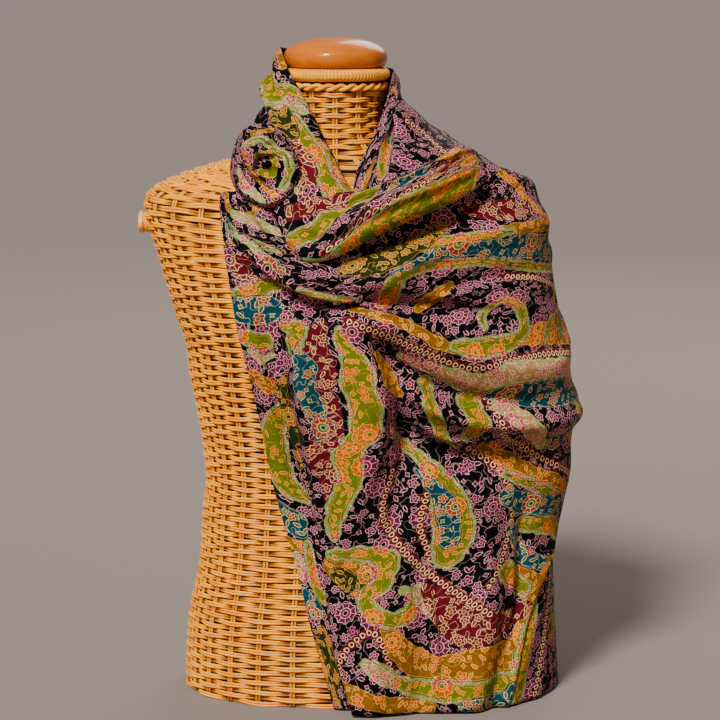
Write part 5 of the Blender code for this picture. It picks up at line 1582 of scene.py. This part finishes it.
# The turns of cloth in the knot, each along four places, right of and above its middle, in
# millimetres, with how far it stands out and how far it spreads.
ROSETTE_TURNS = (
    ((6, 26), (-18, 22), (-24, -4), (-4, -24), 7, 4.4),
    ((14, 13), (-6, 15), (-11, -3), (8, -13), 7, 3.8),
    ((1, 3), (11, 3), (22, -4), (33, -15), 6, 4),
    ((-10, 34), (10, 27), (24, 17), (33, 4), 5.4, 4.4),
    ((-31, -12), (-16, -27), (4, -35), (24, -28), 5.4, 4.4),
    ((-5, -2), (0, 7), (8, 7), (9, -3), -7, 3.4),
    ((-30, 14), (-18, 6), (-16, -8), (-4, -17), -5.5, 3.2),
)
ROSE_DYES = (
    ("olive", 39.1, 76.2, 4, 25.5, 66.2, 5, 8.9, 66.2, 5, 97.9, 72.5, 5, 87.5, 71.2, 4),
    ("ochre", 42.7, 58.8, 3, 54.7, 37.5, 4, 74, 42.5, 4, 82.8, 73.8, 4),
    ("leaf", 35.4, 31.2, 4, 18.8, 38.8, 4, 4.7, 38.8, 4, 88.5, 27.5, 4, 62.5, 17.5, 3),
    ("mint", 52.6, 71.2, 4, 62.5, 67.5, 5, 74.5, 80, 5),
    ("ochre", 30.7, 83.8, 4, 20.3, 91.2, 4),
)
turn = np.arange(-OVERLAP, ROSETTE_ROUND + OVERLAP + 1)[:, None] * (2 * math.pi / ROSETTE_ROUND)
share = 0.004 + 0.996 * np.linspace(0, 1, 10 * ROSETTE_FINER + 1)[None, :]
right = ROSETTE_WIDE * share * np.cos(turn) * (1 + 0.05 * np.cos(3 * turn + 1.0))
above = ROSETTE_HIGH * share * np.sin(turn) * (1 + 0.04 * np.cos(2 * turn + 2.0))
rise = ROSETTE_DOME * np.clip(1 - share ** 2, 0, 1) ** 1.15 * (0.9 + 0.1 * np.cos(turn - 0.4))
t = np.linspace(0, 3, CURVE_STEPS)
for *places, height, spread in ROSETTE_TURNS:
    path = [smooth([place[axis] for place in places], t) for axis in (0, 1)]
    away = np.hypot(right[..., None] - path[0], above[..., None] - path[1])
    # Each turn starts and ends soft, but not quite from nothing.
    along = (away.argmin(axis=-1) + 4) / (CURVE_STEPS + 7)
    fade = np.sin(math.pi * np.clip(along, 0, 1)) ** 0.6
    swell = height * fade * np.exp(-(away.min(axis=-1) / spread) ** 2)
    rise = rise + swell * np.clip(6 * (1 - share), 0, 1)
# Its outer rim turns back to lie on the shoulder and the neck.
tuck = 8 + 24 * np.clip(-np.cos(turn - 0.35), 0, 1)
rise = rise - tuck * np.clip(2.2 * share - 1.2, 0, 1) ** 2
points = np.stack(np.broadcast_arrays(ROSETTE_CENTRE[0] + right, ROSETTE_CENTRE[1] - rise,
                                      ROSETTE_CENTRE[2] + above), axis=-1)
carriers = solid_form("shawl_collar_back", "shawl_neck_left", "shawl_cowl_roll", *LATER_NODES)
points = settle(points, -outward_front(points), carriers, WALL + ROSETTE_GAP, rounds=4,
                finer=ROSETTE_FINER)
points = points + np.array((0.0, ROSETTE_SEAT, 0.0))
points, turn = points[OVERLAP:-OVERLAP], turn[OVERLAP:-OVERLAP]
points[0] = points[-1] = (points[0] + points[-1]) / 2
points[:, 0] = points[:, 0].mean(axis=0)
# Its flat map is worked out from the middle, and a little less wide, as its cloth is drawn in.
steps = np.linalg.norm(np.diff(points, axis=1, prepend=points[:, :1]), axis=-1)
radius = np.cumsum(steps, axis=1) * ROSETTE_EASE
flat = np.stack([radius * np.cos(turn), radius * np.sin(turn)], axis=-1)
rosette = cloth_piece("cloth_rosette", points, ROSE_DYES, outward_front, flat)
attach(rosette, "root")
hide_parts("shawl_rosette")
